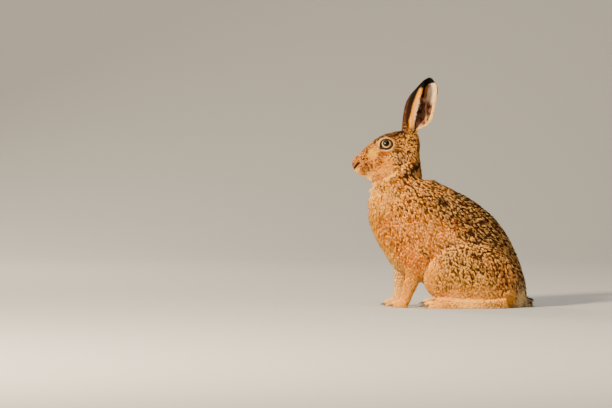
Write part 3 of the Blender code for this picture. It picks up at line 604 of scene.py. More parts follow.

# %% [markdown]
# A hare's nostrils are slanting slits, and its lip is cleft in front. They could be cut with
# Booleans, but pushing the skin in along its normals near a path keeps the edges soft, and the same
# paths say later where the skin is bare and painted black as shade inside the slits.

# %% Carve the nostrils, the mouth and the cleft of the lip
SLITS = (
    # path in the side view, width, depth, nearest and farthest from the middle of the face
    (((-155.5, 256), (-152.5, 260.5), (-149, 264.5), (-146, 266.5)), 2.1, 2.6, 3.2, FAR_OFF),
    (((-156.5, 251.5), (-152, 250), (-147, 247), (-142, 244.5), (-137.5, 242.5)), 0.9, 1.2, 5, FAR_OFF),
    (((-159.5, 261), (-154.5, 250)), 0.8, 1.0, 0, 0),
)


def slit_distance(points, path, nearest, farthest):
    away = path_distance(points[:, ::2], path)
    aside = np.abs(points[:, 1])
    return np.hypot(away, np.maximum(nearest - aside, 0) + np.maximum(aside - farthest, 0))


points = places_of(skin)
normals = normals_of(skin)
for path, width, depth, *reach in SLITS:
    share = np.exp(-((slit_distance(points, path, *reach) / width) ** 2))
    points = points - normals * (share * depth)[:, None]
set_places(skin, points)
print("slits carved:", len(SLITS))

# %% [markdown]
# The voxels made far more faces than the broad body needs. Thinning takes them from there, and a
# group of weights spares the head and ears, where they are wanted.

# %% Thin the skin's mesh, least on the head and ears
weighted_group(skin, "thin", np.where((ear_share > 0) | on_head(points), 0.2, 1.0))
thin = skin.modifiers.new("thin", "DECIMATE")
thin.ratio = min(1.0, SKIN_TRIANGLES / (2 * len(skin.data.polygons)))
thin.vertex_group = "thin"
thin.use_collapse_triangulate = True
applied(skin)
skin.vertex_groups.clear()
skin.data.shade_smooth()
print("skin:", len(skin.data.polygons), "faces")

# %% [markdown]
# The ear's colours follow its own measure. Outside it is dark where it turns to the front, buff on
# the fold and grey behind, with a black end. The cup is black and rust in front and pale behind
# near the end, pinkish in the middle and dark and mottled below, with a painted shadow along its
# crease and a cream rim.


# %% Colour the ears
def beside(away, reach):
    return np.exp(-((away / reach) ** 4))


def layered(count, *layers):
    """Colours laid over each other in turn, each as strongly as its share says."""
    colour = np.zeros((count, 3))
    for name, share in layers:
        colour = mix(colour, name, np.broadcast_to(share, count))
    return colour


def ear_outside(points, spot):
    place, around = spot.place, spot.around
    streaks = soft_step(0.4, 0.65, cloud(points * (1, 1, 0.3), 1.6, 4))
    behind = soft_step(0.5, 0.34, around)
    wider = 0.03 * soft_step(0.4, 0.7, place) - 0.12 * soft_step(0.4, 0.2, place)
    edge = soft_step(0.2, 0.4, around) * soft_step(0.83, 0.73, around - wider)
    return layered(
        len(points),
        ("buff", 1),
        ("gold", 0.6 * cloud(points, 6, 7)),
        ("dusk", behind * soft_step(-0.3, 0, around)),
        ("umber", 0.85 * streaks * behind),
        ("white", 0.6 * soft_step(-0.1, -0.4, around)),
        ("umber", edge),
        ("black", edge * (0.4 + 0.6 * soft_step(0.35, 0.7, place))),
        ("white", soft_step(0.86, 0.97, around) * soft_step(0.7, 0.5, place)),
        ("cream", soft_step(-0.86, -0.95, around)),
        ("black", soft_step(-0.025, 0.025, place - 0.78 - 0.035 * around)),
    )


def ear_inside(points, spot):
    place, u = spot.place, spot.ahead
    mottle = soft_step(0.35, 0.6, cloud(points, 3.5, 6))
    high = soft_step(0.6, 0.66, place)
    low = soft_step(0.64, 0.56, place + 0.1 * (cloud(points, 6, 9) - 0.5))
    dark_edge = np.interp(place, (0.62, 0.68, 0.75, 0.82, 0.9, 0.95), (-12, -11, -8, -4.5, -6, -14))
    crease_shadow = np.interp(place, (0.42, 0.48, 0.55, 0.62), (-20, -18.5, -15.5, -13))
    ridge = np.interp(place, (0.38, 0.45, 0.5, 0.58), (-25, -23.5, -21.5, -19.5))
    rusty = high * soft_step(-6.5, -4, u - dark_edge) * soft_step(0.9, 0.86, place)
    dark = low * soft_step(0.2, 0.3, place)
    return layered(
        len(points),
        ("pink", 1),
        ("white", 0.85 * high),
        ("grey", 0.35 * high * cloud(points * (1, 1, 0.3), 3, 12)),
        ("rust", 0.9 * rusty),
        ("black", high * soft_step(-0.8, 0.8, u - dark_edge)),
        ("umber", dark * (0.72 + 0.26 * mottle)),
        # painted shadow in the crease along the front of the cup
        ("rust", 0.5 * dark * beside(u - crease_shadow, 1.2)),
        ("pink", 0.8 * dark * beside(u - ridge, 1.5)),
        ("black", soft_step(0.33, 0.28, place) * soft_step(-11, -9, u)),
        ("cream", soft_step(-0.88, -0.93, spot.around)),
        ("black", soft_step(0.94, 0.97, place)),
    )


def ear_band(points, spot):
    return np.where(spot.inner[:, None], ear_inside(points, spot), ear_outside(points, spot))


# %% [markdown]
# Where tufts part, the skin under them is seen. It carries the coat's own colours, darkened as painted
# shade of the depth under the coat, so that no bare place flashes through. They are laid on its
# points, which travel with the model.

# %% Paint the skin
EYE_RIM = 11.6
RIM_CORNER = 0.22
CORNER_ANGLE = math.radians(-39)
CORNER_WIDTH = 0.33
# The skin's and the ears' skin shades darken it as painted shade under the coat.
SKIN_SHADE, SKIN_MOTTLE, SKIN_DARK = 0.5, 0.25, 0.6
EAR_SKIN_SHADE = 0.8


def rim_reach(fore, up):
    """How much farther out the lids' dark rim goes at its pointed front corner."""
    angle = np.arctan2(up / EYE_HIGH, fore / EYE_LONG)
    away = (angle - CORNER_ANGLE + np.pi) % (2 * np.pi) - np.pi
    return 1 + RIM_CORNER * np.exp(-((away / CORNER_WIDTH) ** 2))


def around_rim(points):
    """How far out of the dark rim each place is, in millimetres."""
    look, fore, up = eye_axes(-1)
    away = mirrored(points) - DRAWN_EYE
    return eye_measure(points)[0] / rim_reach(away @ fore, away @ up) - EYE_RIM


def painted(points, normals):
    """The colour of bare skin under the coat: the coat's own band, darkened as painted shade under the
    coat.
    """
    band, dark, pale = colours_at(points)
    shade = (1 - SKIN_DARK * dark) * (SKIN_SHADE + SKIN_MOTTLE * cloud(points, 4, 5))
    colour = band * shade[:, None]
    for side in (-1, 1):
        spot = ear_measure(points, normals, side)
        colour += (ear_band(points, spot) * EAR_SKIN_SHADE - colour) * spot.share[:, None]
    # In the nostrils, the mouth and the cleft the skin is painted black: painted shade inside the
    # slits.
    for path, width, depth, *reach in SLITS:
        away = slit_distance(points, path, *reach)
        colour = mix(colour, "black", np.exp(-((away / (1.2 * width)) ** 6)))
    return mix(colour, "black", soft_step(1, 0, around_rim(points)))


def put_colours(mesh, colours):
    attribute = mesh.color_attributes.new("coat", "FLOAT_COLOR", "POINT")
    rows = np.ones((len(colours), 4), np.float32)
    rows[:, :3] = colours
    attribute.data.foreach_set("color", rows.ravel())


skin_points = places_of(skin)
skin_normals = normals_of(skin)
put_colours(skin.data, painted(skin_points, skin_normals))
print("painted:", len(skin_points), "points")

# %% [markdown]
# Fur has a soft sheen and hardly any gloss, and no two hairs share a tone. The materials read the
# colours laid on the points, and noise over the object's own place adds what is finer than they
# are. An image could do the same, but it would need an unwrap and would not follow a change.


# %% Mix the materials
def spelled(socket):
    return socket.replace("_", " ").title().replace("Ior", "IOR")


def material(name, **settings):
    made = bpy.data.materials.new(name)
    made.use_nodes = True
    shader = made.node_tree.nodes["Principled BSDF"]
    for socket, value in settings.items():
        shader.inputs[spelled(socket)].default_value = value
    return made, made.node_tree, shader


def node(tree, kind, **inputs):
    made = tree.nodes.new(kind)
    for socket, value in inputs.items():
        made.inputs[spelled(socket)].default_value = value
    return made


def bump(tree, shader, height, strength, distance):
    made = node(tree, "ShaderNodeBump", strength=strength, distance=distance)
    tree.links.new(height, made.inputs["Height"])
    tree.links.new(made.outputs["Normal"], shader.inputs["Normal"])


def grain(tree, place, scale, detail, stretch=None, **settings):
    """Noise over these places, drawn out along an axis where a stretch is given."""
    if stretch:
        mapping = node(tree, "ShaderNodeMapping", scale=stretch)
        tree.links.new(place, mapping.inputs["Vector"])
        place = mapping.outputs["Vector"]
    noise = node(tree, "ShaderNodeTexNoise", scale=scale, detail=detail, **settings)
    tree.links.new(place, noise.inputs["Vector"])
    return noise.outputs["Fac"]


def own_place(tree):
    return tree.nodes.new("ShaderNodeTexCoord").outputs["Object"]


def uneven(tree, shader, colour, noise, low, high):
    """Gives the shader this colour, made darker and lighter by the noise."""
    spread = node(tree, "ShaderNodeMapRange", to_min=low, to_max=high)
    tree.links.new(noise, spread.inputs["Value"])
    scale = node(tree, "ShaderNodeVectorMath")
    scale.operation = "SCALE"
    tree.links.new(colour, scale.inputs[0])
    tree.links.new(spread.outputs["Result"], scale.inputs["Scale"])
    tree.links.new(scale.outputs["Vector"], shader.inputs["Base Color"])


def hairy_material(name, roughness, scale):
    """Fur or skin: the colour laid on its points, made uneven by fine noise that also lifts it."""
    made, tree, shader = material(
        name, roughness=roughness, specular_ior_level=0.08, sheen_weight=0.02, sheen_roughness=0.5
    )
    colour = tree.nodes.new("ShaderNodeVertexColor")
    colour.layer_name = "coat"
    noise = grain(tree, own_place(tree), scale, 3.0, roughness=0.6)
    uneven(tree, shader, colour.outputs["Color"], noise, 0.75, 1.25)
    bump(tree, shader, noise, 0.4, 0.0004)
    return made


def ramp(tree, stops):
    made = tree.nodes.new("ShaderNodeValToRGB")
    band = made.color_ramp
    while len(band.elements) < len(stops):
        band.elements.new(0.5)
    for element, (at, colour) in zip(band.elements, stops):
        element.position = at
        element.color = (*colour, 1)
    return made


def horny_material(name, roughness, stops, scale, detail=3.0, stretch=None, lift=None, **settings):
    """Lid, claw or whisker: a colour between two tones by noise, which may also lift the surface."""
    made, tree, shader = material(name, roughness=roughness, **settings)
    noise = grain(tree, own_place(tree), scale, detail, stretch)
    tones = ramp(tree, stops)
    tree.links.new(noise, tones.inputs["Fac"])
    tree.links.new(tones.outputs["Color"], shader.inputs["Base Color"])
    if lift:
        bump(tree, shader, noise, *lift)
    return made


coat_material = hairy_material("fur", 0.7, 900.0)
skin_material = hairy_material("skin", 0.75, 1400.0)
skin.data.materials.clear()
skin.data.materials.append(skin_material)
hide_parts(*FLESH)
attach(skin, "root")
print("flesh solids replaced:", len(FLESH))

# %% [markdown]
# Hair stands about evenly on a hare, and finer on its face. Roots thrown at random alone would
# clump, so many are thrown and only one is kept in each small cell of space. None stands on the
# lids, or in the nostrils and the mouth.


# %% Scatter the roots
def triangles_of(obj):
    mesh = obj.data
    mesh.calc_loop_triangles()
    corners = np.empty(len(mesh.loop_triangles) * 3, np.int32)
    mesh.loop_triangles.foreach_get("vertices", corners)
    return corners.reshape(-1, 3)


def thrown(corners, count, *facts):
    """Random places on the skin, evenly by area, with what the facts of its points say there."""
    a, b, c = (facts[0][corners[:, k]] for k in range(3))
    total = np.cumsum(np.linalg.norm(np.cross(b - a, c - a), axis=1))
    chosen = np.searchsorted(total, rng.random(count) * total[-1])
    one, two = rng.random((2, count))
    over = one + two > 1
    one[over], two[over] = 1 - one[over], 1 - two[over]
    shares = (1 - one - two, one, two)
    return [sum(f[corners[chosen, k]].T * shares[k] for k in range(3)).T for f in facts]


def one_in_each_cell(points, spacing):
    """The rows of the first point in each cell of space, with cells as wide as the spacing."""
    kept = []
    levels = np.round(np.log2(spacing) * 4).astype(int)
    for level in np.unique(levels):
        rows = np.flatnonzero(levels == level)
        cells = np.floor(points[rows] / 2 ** (level / 4)).astype(np.int64)
        key = (cells[:, 0] * 4096 + cells[:, 1]) * 4096 + cells[:, 2]
        kept.append(rows[np.unique(key, return_index=True)[1]])
    return np.sort(np.concatenate(kept))


def unit(vectors):
    return vectors / (np.linalg.norm(vectors, axis=1)[:, None] + 1e-9)


THROWN = 2400000
EAR_SPACING = 1.1
FINEST = 0.79
COARSEST = 1.1
SPACING_SHARE = 0.45
SPACING_POWER = 0.42
FLOOR_CLEAR = 1.0
RIM_CLEAR = 0.4

skin_ear = ear_shares(skin_points, skin_normals)
skin_length = read_guides(skin_points)[1]
skin_spacing = np.clip(SPACING_SHARE * skin_length**SPACING_POWER, FINEST, COARSEST)
skin_spacing += (EAR_SPACING - skin_spacing) * skin_ear
roots, facing, spacing = thrown(triangles_of(skin), THROWN, skin_points, skin_normals, skin_spacing)
rows = one_in_each_cell(roots, spacing)
bare = (roots[rows, 2] < FLOOR_CLEAR) | (around_rim(roots[rows]) < RIM_CLEAR)
for path, width, depth, *reach in SLITS:
    bare |= slit_distance(roots[rows], path, *reach) < width
rows = rows[~bare]
roots, facing, spacing = roots[rows], unit(facing[rows]), spacing[rows]
ear_share = ear_shares(roots, facing)
on_ears = ear_share > 0
way, length = read_guides(roots)[:2]
print("tufts:", len(roots), "of them on the ears:", on_ears.sum())

# %% [markdown]
# Round a hare's eye the hair is short and grows away from it. The ears have their own short hair,
# with a fringe along the margins that reaches over the opening. Guides could say this too, but the
# measures of the eye and the ear follow their shapes more closely.

# %% Lay the hair round the eyes and on the ears
LID_HAIR = 1.7
SLIT_HAIR = 0.5
EAR_HAIR_IN, EAR_HAIR_OUT = 2.4, 3.2
FRINGE = 1.8
MARGIN = 0.9

around, _, outward = eye_measure(roots)
length = np.minimum(length, LID_HAIR + 0.5 * np.maximum(around - RING_START, 0))
near_eye = soft_step(22, 14, around)
inward = np.minimum((way * outward).sum(1), 0)
way = way + outward * (near_eye * (0.3 - inward))[:, None]
for path, width, depth, *reach in SLITS:
    away = slit_distance(roots, path, *reach)
    length = np.minimum(length, SLIT_HAIR + 0.7 * np.maximum(away - width, 0))

ear_colour = np.zeros_like(roots)
for side in (-1, 1):
    spot = ear_measure(roots, facing, side)
    along = ear_axes(side)[1]
    margin = soft_step(MARGIN - 0.08, MARGIN + 0.03, np.abs(spot.around))
    flow = along + (1.4 * margin * np.sign(spot.around))[:, None] * spot.round_way
    way = way + (flow - way) * spot.share[:, None]
    fringe = margin * soft_step(0.85, 0.7, spot.place) * soft_step(0.2, 0.4, spot.place)
    long = np.where(spot.inner, EAR_HAIR_IN, EAR_HAIR_OUT) + FRINGE * fringe
    length = length + (long - length) * spot.share
    ear_colour += ear_band(roots, spot) * (spot.share > 0)[:, None]
print("shortest and longest hair:", round(float(length.min()), 1), round(float(length.max()), 1))

# %% [markdown]
# Neighbouring hairs of a hare lean together into locks, more so on the body than on the head. Some
# tufts are made leaders, and each of the others leans to the nearest leader. A lock also shares one
# throw of the dice, which makes the grizzle, and its outer tufts are darker than its middle: painted
# shade in the partings between locks.

# %% Gather the tufts into locks
LOCK_SHARE = 0.11
LOCK_WIDTH = 1.5
LOCK_WAY = np.array((0.55, 0, -0.83))
LOCK_SQUEEZE = 0.4
STRAY = 0.18
LIFT = 0.28
LIFT_BY_LENGTH = 0.012
LIFT_BY_CHANCE = 0.14
EAR_LIFT = 0.15
SAME_WAY = 0.7  # tufts follow a leader only where the skin faces about the same way

flow = unit(way - facing * (way * facing).sum(1)[:, None])
stray = rng.normal(0, STRAY, len(roots)) + 0.5 * (cloud(roots, 14, 31) - 0.5)
flow = unit(flow + np.cross(facing, flow) * stray[:, None])
cross = np.cross(facing, flow)
length = length * (0.8 + 0.4 * rng.random(len(roots)))
lift = LIFT + LIFT_BY_LENGTH * length + LIFT_BY_CHANCE * rng.random(len(roots))
lift += (EAR_LIFT - lift) * ear_share
heading = flow * np.cos(lift)[:, None] + facing * np.sin(lift)[:, None]
tips = roots + heading * length[:, None]

# Locks are longer along the usual lie of the coat than across it.
squeezed = roots - (LOCK_SQUEEZE * (1 - on_head(roots)) * (roots @ LOCK_WAY))[:, None] * LOCK_WAY
leaders = np.flatnonzero(rng.random(len(roots)) < LOCK_SHARE)
tree = KDTree(len(leaders))
for i, row in enumerate(leaders):
    tree.insert(squeezed[row], i)
tree.balance()
lock = np.array([tree.find(place)[1] for place in squeezed])
leader = leaders[lock]
pull = np.clip(length / 26, 0.12, 0.5) * (1 - ear_share)
pull = pull * ((facing * facing[leader]).sum(1) > SAME_WAY)
tips = tips + (tips[leader] - tips) * pull[:, None]
print("locks:", len(leaders))

# %% [markdown]
# Each hair of the back is dark at its root, has a bright band, and ends dark or pale. A tuft takes
# its colour from the place where its outer half shows, not from its root, and its rank among all
# tufts says whether it is one of the dark or the pale ones there. Colour by noise alone would give
# blots that cut through the tufts.


# %% Choose each tuft's colours
def evened(values):
    """The same order of values, spread evenly from 0 to 1."""
    order = np.empty(len(values))
    order[np.argsort(values)] = np.arange(len(values)) / len(values)
    return order


SHOWN = 0.6
RANK_BLUR = 0.06
SHADE, SHADE_BY_CHANCE, SHADE_BY_CLOUD = 0.84, 0.2, 0.2
SPECKED = 0.16

band, dark, pale = colours_at(roots + (tips - roots) * SHOWN)
aside = np.abs(((roots - roots[leader]) * cross[leader]).sum(1)) / (LOCK_WIDTH * spacing)
beside_it = np.array([[found[1] for found in tree.find_n(squeezed[i], 5)] for i in leaders])
dice = rng.random(len(leaders))
dice = evened(dice - 0.9 * dice[beside_it[:, 1:]].mean(1))
together = 0.32 + 0.3 * soft_step(4, 9, length)
# Tufts near a lock's edge rank lower, so more of them turn dark: painted shade in the partings between
# locks.
rank = 0.25 * np.exp(-(aside**2)) + together * dice[lock]
rank = evened(rank + (0.75 - together) * rng.random(len(roots)))
is_dark = soft_step(RANK_BLUR, -RANK_BLUR, rank - dark)
is_pale = soft_step(-RANK_BLUR, RANK_BLUR, rank - (1 - pale))
shade = SHADE + SHADE_BY_CHANCE * rng.random(len(roots))
shade = shade + SHADE_BY_CLOUD * (cloud(roots, 18, 23) - 0.5)

# %% Colour the root, the middle and the end of each tuft
middle = band * shade[:, None]
end = middle * 1.08
deep = soft_step(0.1, 0.4, dark)
middle = middle * (1 - 0.4 * is_dark)[:, None]
middle = mix(middle, "umber", 0.85 * is_dark * deep)
end = end * (1 - 0.5 * is_dark)[:, None]
end = mix(end, "black", 0.9 * is_dark * deep)
middle = mix(middle, "cream", 0.4 * is_pale)
end = mix(end, "cream", 0.8 * is_pale)
start = middle * (0.55 - 0.4 * soft_step(0, 0.4, dark))[:, None]

speck = (rng.random(len(roots)) < SPECKED)[:, None]
ear_shade = (0.75 + 0.5 * rng.random(len(roots)))[:, None] * ear_colour
blend = ear_share[:, None]
middle += (ear_shade - middle) * blend
end += (np.where(speck, 0.4, 1.05) * ear_shade - end) * blend
start += (0.7 * ear_shade - start) * blend
print("dark and pale tufts:", int((is_dark > 0.5).sum()), int((is_pale > 0.5).sum()))

# %% [markdown]
# A tuft stands for a small bundle of hair. It is a closed spindle: a point at its root, three
# points round its middle and a point at its tip. A flat card would be lighter, but it vanishes seen
# edge on. On the unwrap its three sides lie beside each other in a small patch.

# %% Shape the tufts
BELLY = 0.5
BEND = 0.1
RIDGE = 0.45
ROOT_DEPTH = 0.4
LOWEST = 0.3
TUFT_WIDTH = 1.12
EAR_THINNER = 0.15
width = TUFT_WIDTH * spacing * (1 - EAR_THINNER * ear_share)
SPINDLE = np.array(((0, 2, 1), (0, 3, 2), (0, 1, 3), (4, 1, 2), (4, 2, 3), (4, 3, 1)))
PATCH = 0.003


def patch_corners():
    """The corners of each face of a spindle on its patch, from -0.5 to 0.5."""
    rows = []
    for face in SPINDLE:
        ring = [int(i) for i in face if 0 < i < 4]
        strip = {(1, 2): 0, (2, 3): 1, (1, 3): 2}[tuple(sorted(ring))]
        for i in face:
            end_on = 0.5 if i in (0, 4) else float(i == (1 if strip == 2 else max(ring)))
            rows.append(((strip + end_on) / 3 - 0.5, {0: 0.0, 4: 1.0}.get(int(i), 0.5) - 0.5))
    return np.array(rows)


PATCH_CORNERS = patch_corners() * PATCH
print("faces of a tuft:", len(SPINDLE))


# %% Find the points of each tuft
def spindles(rows):
    """The points and colours of the tufts in these rows, with painted shade on the sides and a painted
    highlight on the ridge.
    """
    root, tip = roots[rows], tips[rows]
    out, side = facing[rows], cross[rows]
    wide = (width[rows] / 2)[:, None]
    belly = root + (tip - root) * BELLY + out * (BEND * length[rows])[:, None]
    low, ridge = belly - out * wide * RIDGE, belly + out * wide * RIDGE
    start_low = root - out * ROOT_DEPTH
    shape = np.stack((start_low, low - side * wide, low + side * wide, ridge, tip), 1)
    shape[:, :, 2] = np.maximum(shape[:, :, 2], LOWEST)
    # The sides of each tuft are darkened as painted shade, and its outer ridge is lightened as a
    # painted highlight.
    sides = middle[rows] * 0.8
    return shape, np.stack((start[rows], sides, sides, middle[rows] * 1.1, end[rows]), 1)


def mesh_from(name, points, faces):
    """A mesh of triangles from arrays, with places in the frame."""
    mesh = bpy.data.meshes.new(name)
    mesh.vertices.add(len(points))
    mesh.vertices.foreach_set("co", points.ravel())
    mesh.loops.add(faces.size)
    mesh.loops.foreach_set("vertex_index", faces.ravel())
    mesh.polygons.add(len(faces))
    mesh.polygons.foreach_set("loop_start", np.arange(0, faces.size, 3))
    mesh.update(calc_edges=True)
    mesh.validate()
    return mesh


print("widest tuft:", round(float(width.max()), 2), "mm")

# %% [markdown]
# For a bake of the coat to an image, each tuft wants its own place there.
# Each takes its root's place on an unwrap of the skin's shape. The unwrap is made on a thinned copy,
# because the skin itself has too many faces for one to be quick.

# %% Unwrap the skin's shape, so that each tuft knows its place on it
UNWRAP_FACES = 12000


def unwrapped_skin():
    copy = placed("unwrap", skin.data.copy())
    thin = copy.modifiers.new("thin", "DECIMATE")
    thin.ratio = UNWRAP_FACES / len(triangles_of(copy))
    thin.use_collapse_triangulate = True
    applied(copy)
    bpy.context.view_layer.objects.active = copy
    bpy.ops.object.select_all(action="DESELECT")
    copy.select_set(True)
    bpy.ops.object.mode_set(mode="EDIT")
    bpy.ops.mesh.select_all(action="SELECT")
    bpy.ops.uv.smart_project(angle_limit=math.radians(66), island_margin=0.002)
    bpy.ops.object.mode_set(mode="OBJECT")
    return copy


def root_patches(roots):
    """The place of each root on the unwrap."""
    copy = unwrapped_skin()
    mesh = copy.data
    count = len(mesh.polygons)
    loops = np.empty(count * 3, np.int32)
    mesh.loops.foreach_get("vertex_index", loops)
    uvs = np.empty(count * 6)
    mesh.uv_layers.active.data.foreach_get("uv", uvs)
    uvs = uvs.reshape(count, 3, 2)
    places = places_of(copy)[loops.reshape(count, 3)]
    corners = [(3 * i, 3 * i + 1, 3 * i + 2) for i in range(count)]
    tree = BVHTree.FromPolygons(places.reshape(-1, 3).tolist(), corners)
    faces = np.array([tree.find_nearest(Vector(root))[2] for root in roots])
    a, b, c = places[faces, 0], places[faces, 1], places[faces, 2]
    ab, ac, ap = b - a, c - a, roots - a
    d00, d01, d11 = (ab * ab).sum(1), (ab * ac).sum(1), (ac * ac).sum(1)
    d20, d21 = (ap * ab).sum(1), (ap * ac).sum(1)
    scale = d00 * d11 - d01 * d01 + 1e-12
    one = np.clip((d11 * d20 - d01 * d21) / scale, 0, 1)
    two = np.clip((d00 * d21 - d01 * d20) / scale, 0, 1)
    share = np.stack([1 - one - two, one, two], 1)[:, :, None]
    bpy.data.objects.remove(copy, do_unlink=True)
    return (uvs[faces] * share).sum(1)


patches = root_patches(roots)
print("places on the unwrap:", len(patches))

# %% [markdown]
# The coat is one kind of thing, but a single mesh of it would be too heavy to handle. It is split
# by part of the body and by side, and each piece is filled from arrays, which is much quicker than
# making over a million faces one by one.

# %% Build the coat in pieces
MOST_IN_PIECE = 32000
FORE_END = -30
MIDDLE_END = 62


def coat_piece(name, rows):
    shape, colour = spindles(rows)
    faces = (SPINDLE[None] + 5 * np.arange(len(rows))[:, None, None]).reshape(-1, 3)
    mesh = mesh_from(name, to_frame(shape.reshape(-1, 3)), faces)
    put_colours(mesh, colour.reshape(-1, 3))
    uv = patches[rows][:, None, :] + PATCH_CORNERS
    mesh.uv_layers.new(name="OFBake").data.foreach_set("uv", uv.ravel())
    mesh.shade_smooth()
    mesh.materials.append(coat_material)
    obj = placed(name, mesh)
    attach(obj, "root")


of_head = on_head(roots) & ~on_ears
of_body = ~on_ears & ~of_head
of_fore = of_body & (roots[:, 0] < FORE_END)
of_hind = of_body & (roots[:, 0] > MIDDLE_END)
triangles = 0
for area, members, slot in (
    ("ear", on_ears, "coat_buff"),
    ("head", of_head, "coat_brown"),
    ("fore", of_fore, "coat_orange"),
    ("mid", of_body & ~of_fore & ~of_hind, "coat_brown"),
    ("hind", of_hind, "coat_brown"),
):
    for word, on_side in (("left", roots[:, 1] <= 0), ("right", roots[:, 1] > 0)):
        rows = np.flatnonzero(members & on_side)
        rows = rows[np.argsort(roots[rows, 2])]
        shares = np.array_split(rows, -(-len(rows) // MOST_IN_PIECE))
        for number, share in enumerate(shares, 1):
            coat_piece(f"coat_{area}_{word}_{number}", share)
            triangles += len(share) * len(SPINDLE)
print("coat:", triangles, "triangles")

# %% [markdown]
# A hare's eye is amber round a wide black pupil, under a clear and wet cornea. It could be a
# painted ball inside a clear one. Here one ball does both: its colour goes by the angle from where
# it looks, its front bulges a little, and a clear coat gives the gloss.

# %% Make the eyes
GAZE_UP = math.radians(9)
BULGE = 0.045
BULGE_REACH = 0.62


def eye_material():
    made, tree, shader = material("eye", roughness=0.3, specular_ior_level=0.1)
    for socket, value in (("Weight", 0.5), ("Roughness", 0.02), ("IOR", 1.33)):
        shader.inputs["Coat " + socket].default_value = value
    uv = tree.nodes.new("ShaderNodeUVMap")
    uv.uv_map = "look"
    split = tree.nodes.new("ShaderNodeSeparateXYZ")
    tree.links.new(uv.outputs["UV"], split.inputs["Vector"])
    threads = grain(tree, uv.outputs["UV"], 1.0, 4.0, stretch=(70, 5, 1))
    shift = node(tree, "ShaderNodeMath")
    shift.operation = "MULTIPLY_ADD"
    shift.inputs[1].default_value = 0.012
    tree.links.new(threads, shift.inputs[0])
    tree.links.new(split.outputs["Y"], shift.inputs[2])
    rings = ramp(
        tree,
        (
            (0.0, linear(4, 3, 3)),
            (0.172, linear(6, 4, 3)),
            (0.182, linear(140, 88, 28)),
            (0.205, linear(206, 148, 54)),
            (0.245, linear(214, 164, 76)),
            (0.266, linear(120, 74, 26)),
            (0.28, linear(14, 9, 6)),
            (1.0, linear(10, 7, 5)),
        ),
    )
    tree.links.new(shift.outputs["Value"], rings.inputs["Fac"])
    uneven(tree, shader, rings.outputs["Color"], threads, 0.7, 1.2)
    return made


def new_object(name, bm, paint):
    """An object from a finished bmesh, shaded smooth in one paint."""
    mesh = bpy.data.meshes.new(name)
    bm.to_mesh(mesh)
    bm.free()
    mesh.shade_smooth()
    mesh.materials.append(paint)
    return placed(name, mesh)


def eye_ball(word, side):
    low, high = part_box(f"eye_{word}")
    centre = (low + high) / 2
    radius = (high.z - low.z) / 2
    bm = bmesh.new()
    bmesh.ops.create_uvsphere(bm, u_segments=64, v_segments=40, radius=radius)
    tilt = Matrix.Rotation(GAZE_UP * side, 3, "X")
    turn = tilt @ Vector(look_of(side)).to_track_quat("Z", "X").to_matrix()
    layer = bm.loops.layers.uv.new("look")
    for face in bm.faces:
        middle = face.calc_center_median()
        bearing = math.atan2(middle.y, middle.x)
        for loop in face.loops:
            co = loop.vert.co
            angle = math.atan2(co.y, co.x) if co.xy.length > 1e-7 else bearing
            angle -= 2 * math.pi * round((angle - bearing) / (2 * math.pi))
            polar = math.acos(max(-1, min(1, co.z / radius)))
            loop[layer].uv = (angle / (2 * math.pi) + 0.5, polar / math.pi)
    for vert in bm.verts:
        aside = vert.co.xy.length / (BULGE_REACH * radius)
        vert.co *= 1 + BULGE * (math.exp(-(aside**4)) if vert.co.z > 0 else 0)
        vert.co = centre + turn @ vert.co
    obj = new_object(f"eyeball_{word}", bm, eye_paint)
    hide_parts(f"eye_{word}")
    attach(obj, "root")
    return radius * 1000


eye_paint = eye_material()
for word, side in (("left", -1), ("right", 1)):
    eye_radius = eye_ball(word, side)
print("radius of an eye:", round(eye_radius, 1), "mm")

# %% [markdown]
# Bare, dark lids frame each eye, and their front corner is drawn out and down. They could be
# painted on the skin, but a modelled rim catches light. A tube of rings becomes an open band: each
# ring is laid on the ball or on the skin, whichever stands out farther, and lifted by its height.

# %% Make the lids
LID_PROFILE = (
    # how far round, height over the ball or the skin
    (8.1, -0.4),
    (8.35, 0.35),
    (8.9, 0.8),
    (9.8, 1.0),
    (10.8, 0.8),
    (11.6, 0.45),
    (12.2, -0.4),
)
LID_STEPS = 72
LID_WALL = 0.0005
LID_RAY = 30
FRESH = 2  # a point of a new tube lies nearer to the origin than this, and a placed one doesn't


def tube(bm, sides, rings, capped, place_of):
    """A tube of this many sides and rings. Where a point goes is told by its ring and its turn."""
    bmesh.ops.create_cone(bm, cap_ends=capped, segments=sides, radius1=1, radius2=1, depth=1)
    fresh = [edge for edge in bm.edges if all(vert.co.length < FRESH for vert in edge.verts)]
    long = [edge for edge in fresh if abs(edge.verts[0].co.z - edge.verts[1].co.z) > 0.5]
    bmesh.ops.subdivide_edges(bm, edges=long, cuts=rings - 2)
    for vert in bm.verts:
        if vert.co.length < FRESH:
            ring = round((vert.co.z + 0.5) * (rings - 1))
            vert.co = place_of(ring, math.atan2(vert.co.y, vert.co.x))


def lid_ring(side, around, height):
    """One ring of the lids' points, this far round and this high over what lies under it."""
    look, fore, up = eye_axes(side)
    angle = np.linspace(0, 2 * np.pi, LID_STEPS, endpoint=False)
    long = around * EYE_LONG * np.cos(angle)
    high = around * EYE_HIGH * np.sin(angle)
    stretch = 1 + (rim_reach(long, high) - 1) * soft_step(7, EYE_RIM, around)
    flat = long[:, None] * fore + high[:, None] * up
    flat *= stretch[:, None]
    centre = DRAWN_EYE * (1, -side, 1)
    out = np.sqrt(np.maximum(eye_radius**2 - (flat**2).sum(1), 0))
    for step, place in enumerate(flat):
        start = Vector(centre + place + look * LID_RAY)
        distance = skin_tree.ray_cast(start, Vector(-look))[3]
        out[step] = max(out[step], LID_RAY - (distance or LID_RAY))
    for _ in range(4):
        out = (np.roll(out, 1) + 2 * out + np.roll(out, -1)) / 4
    return centre + flat + look * (out + height)[:, None]


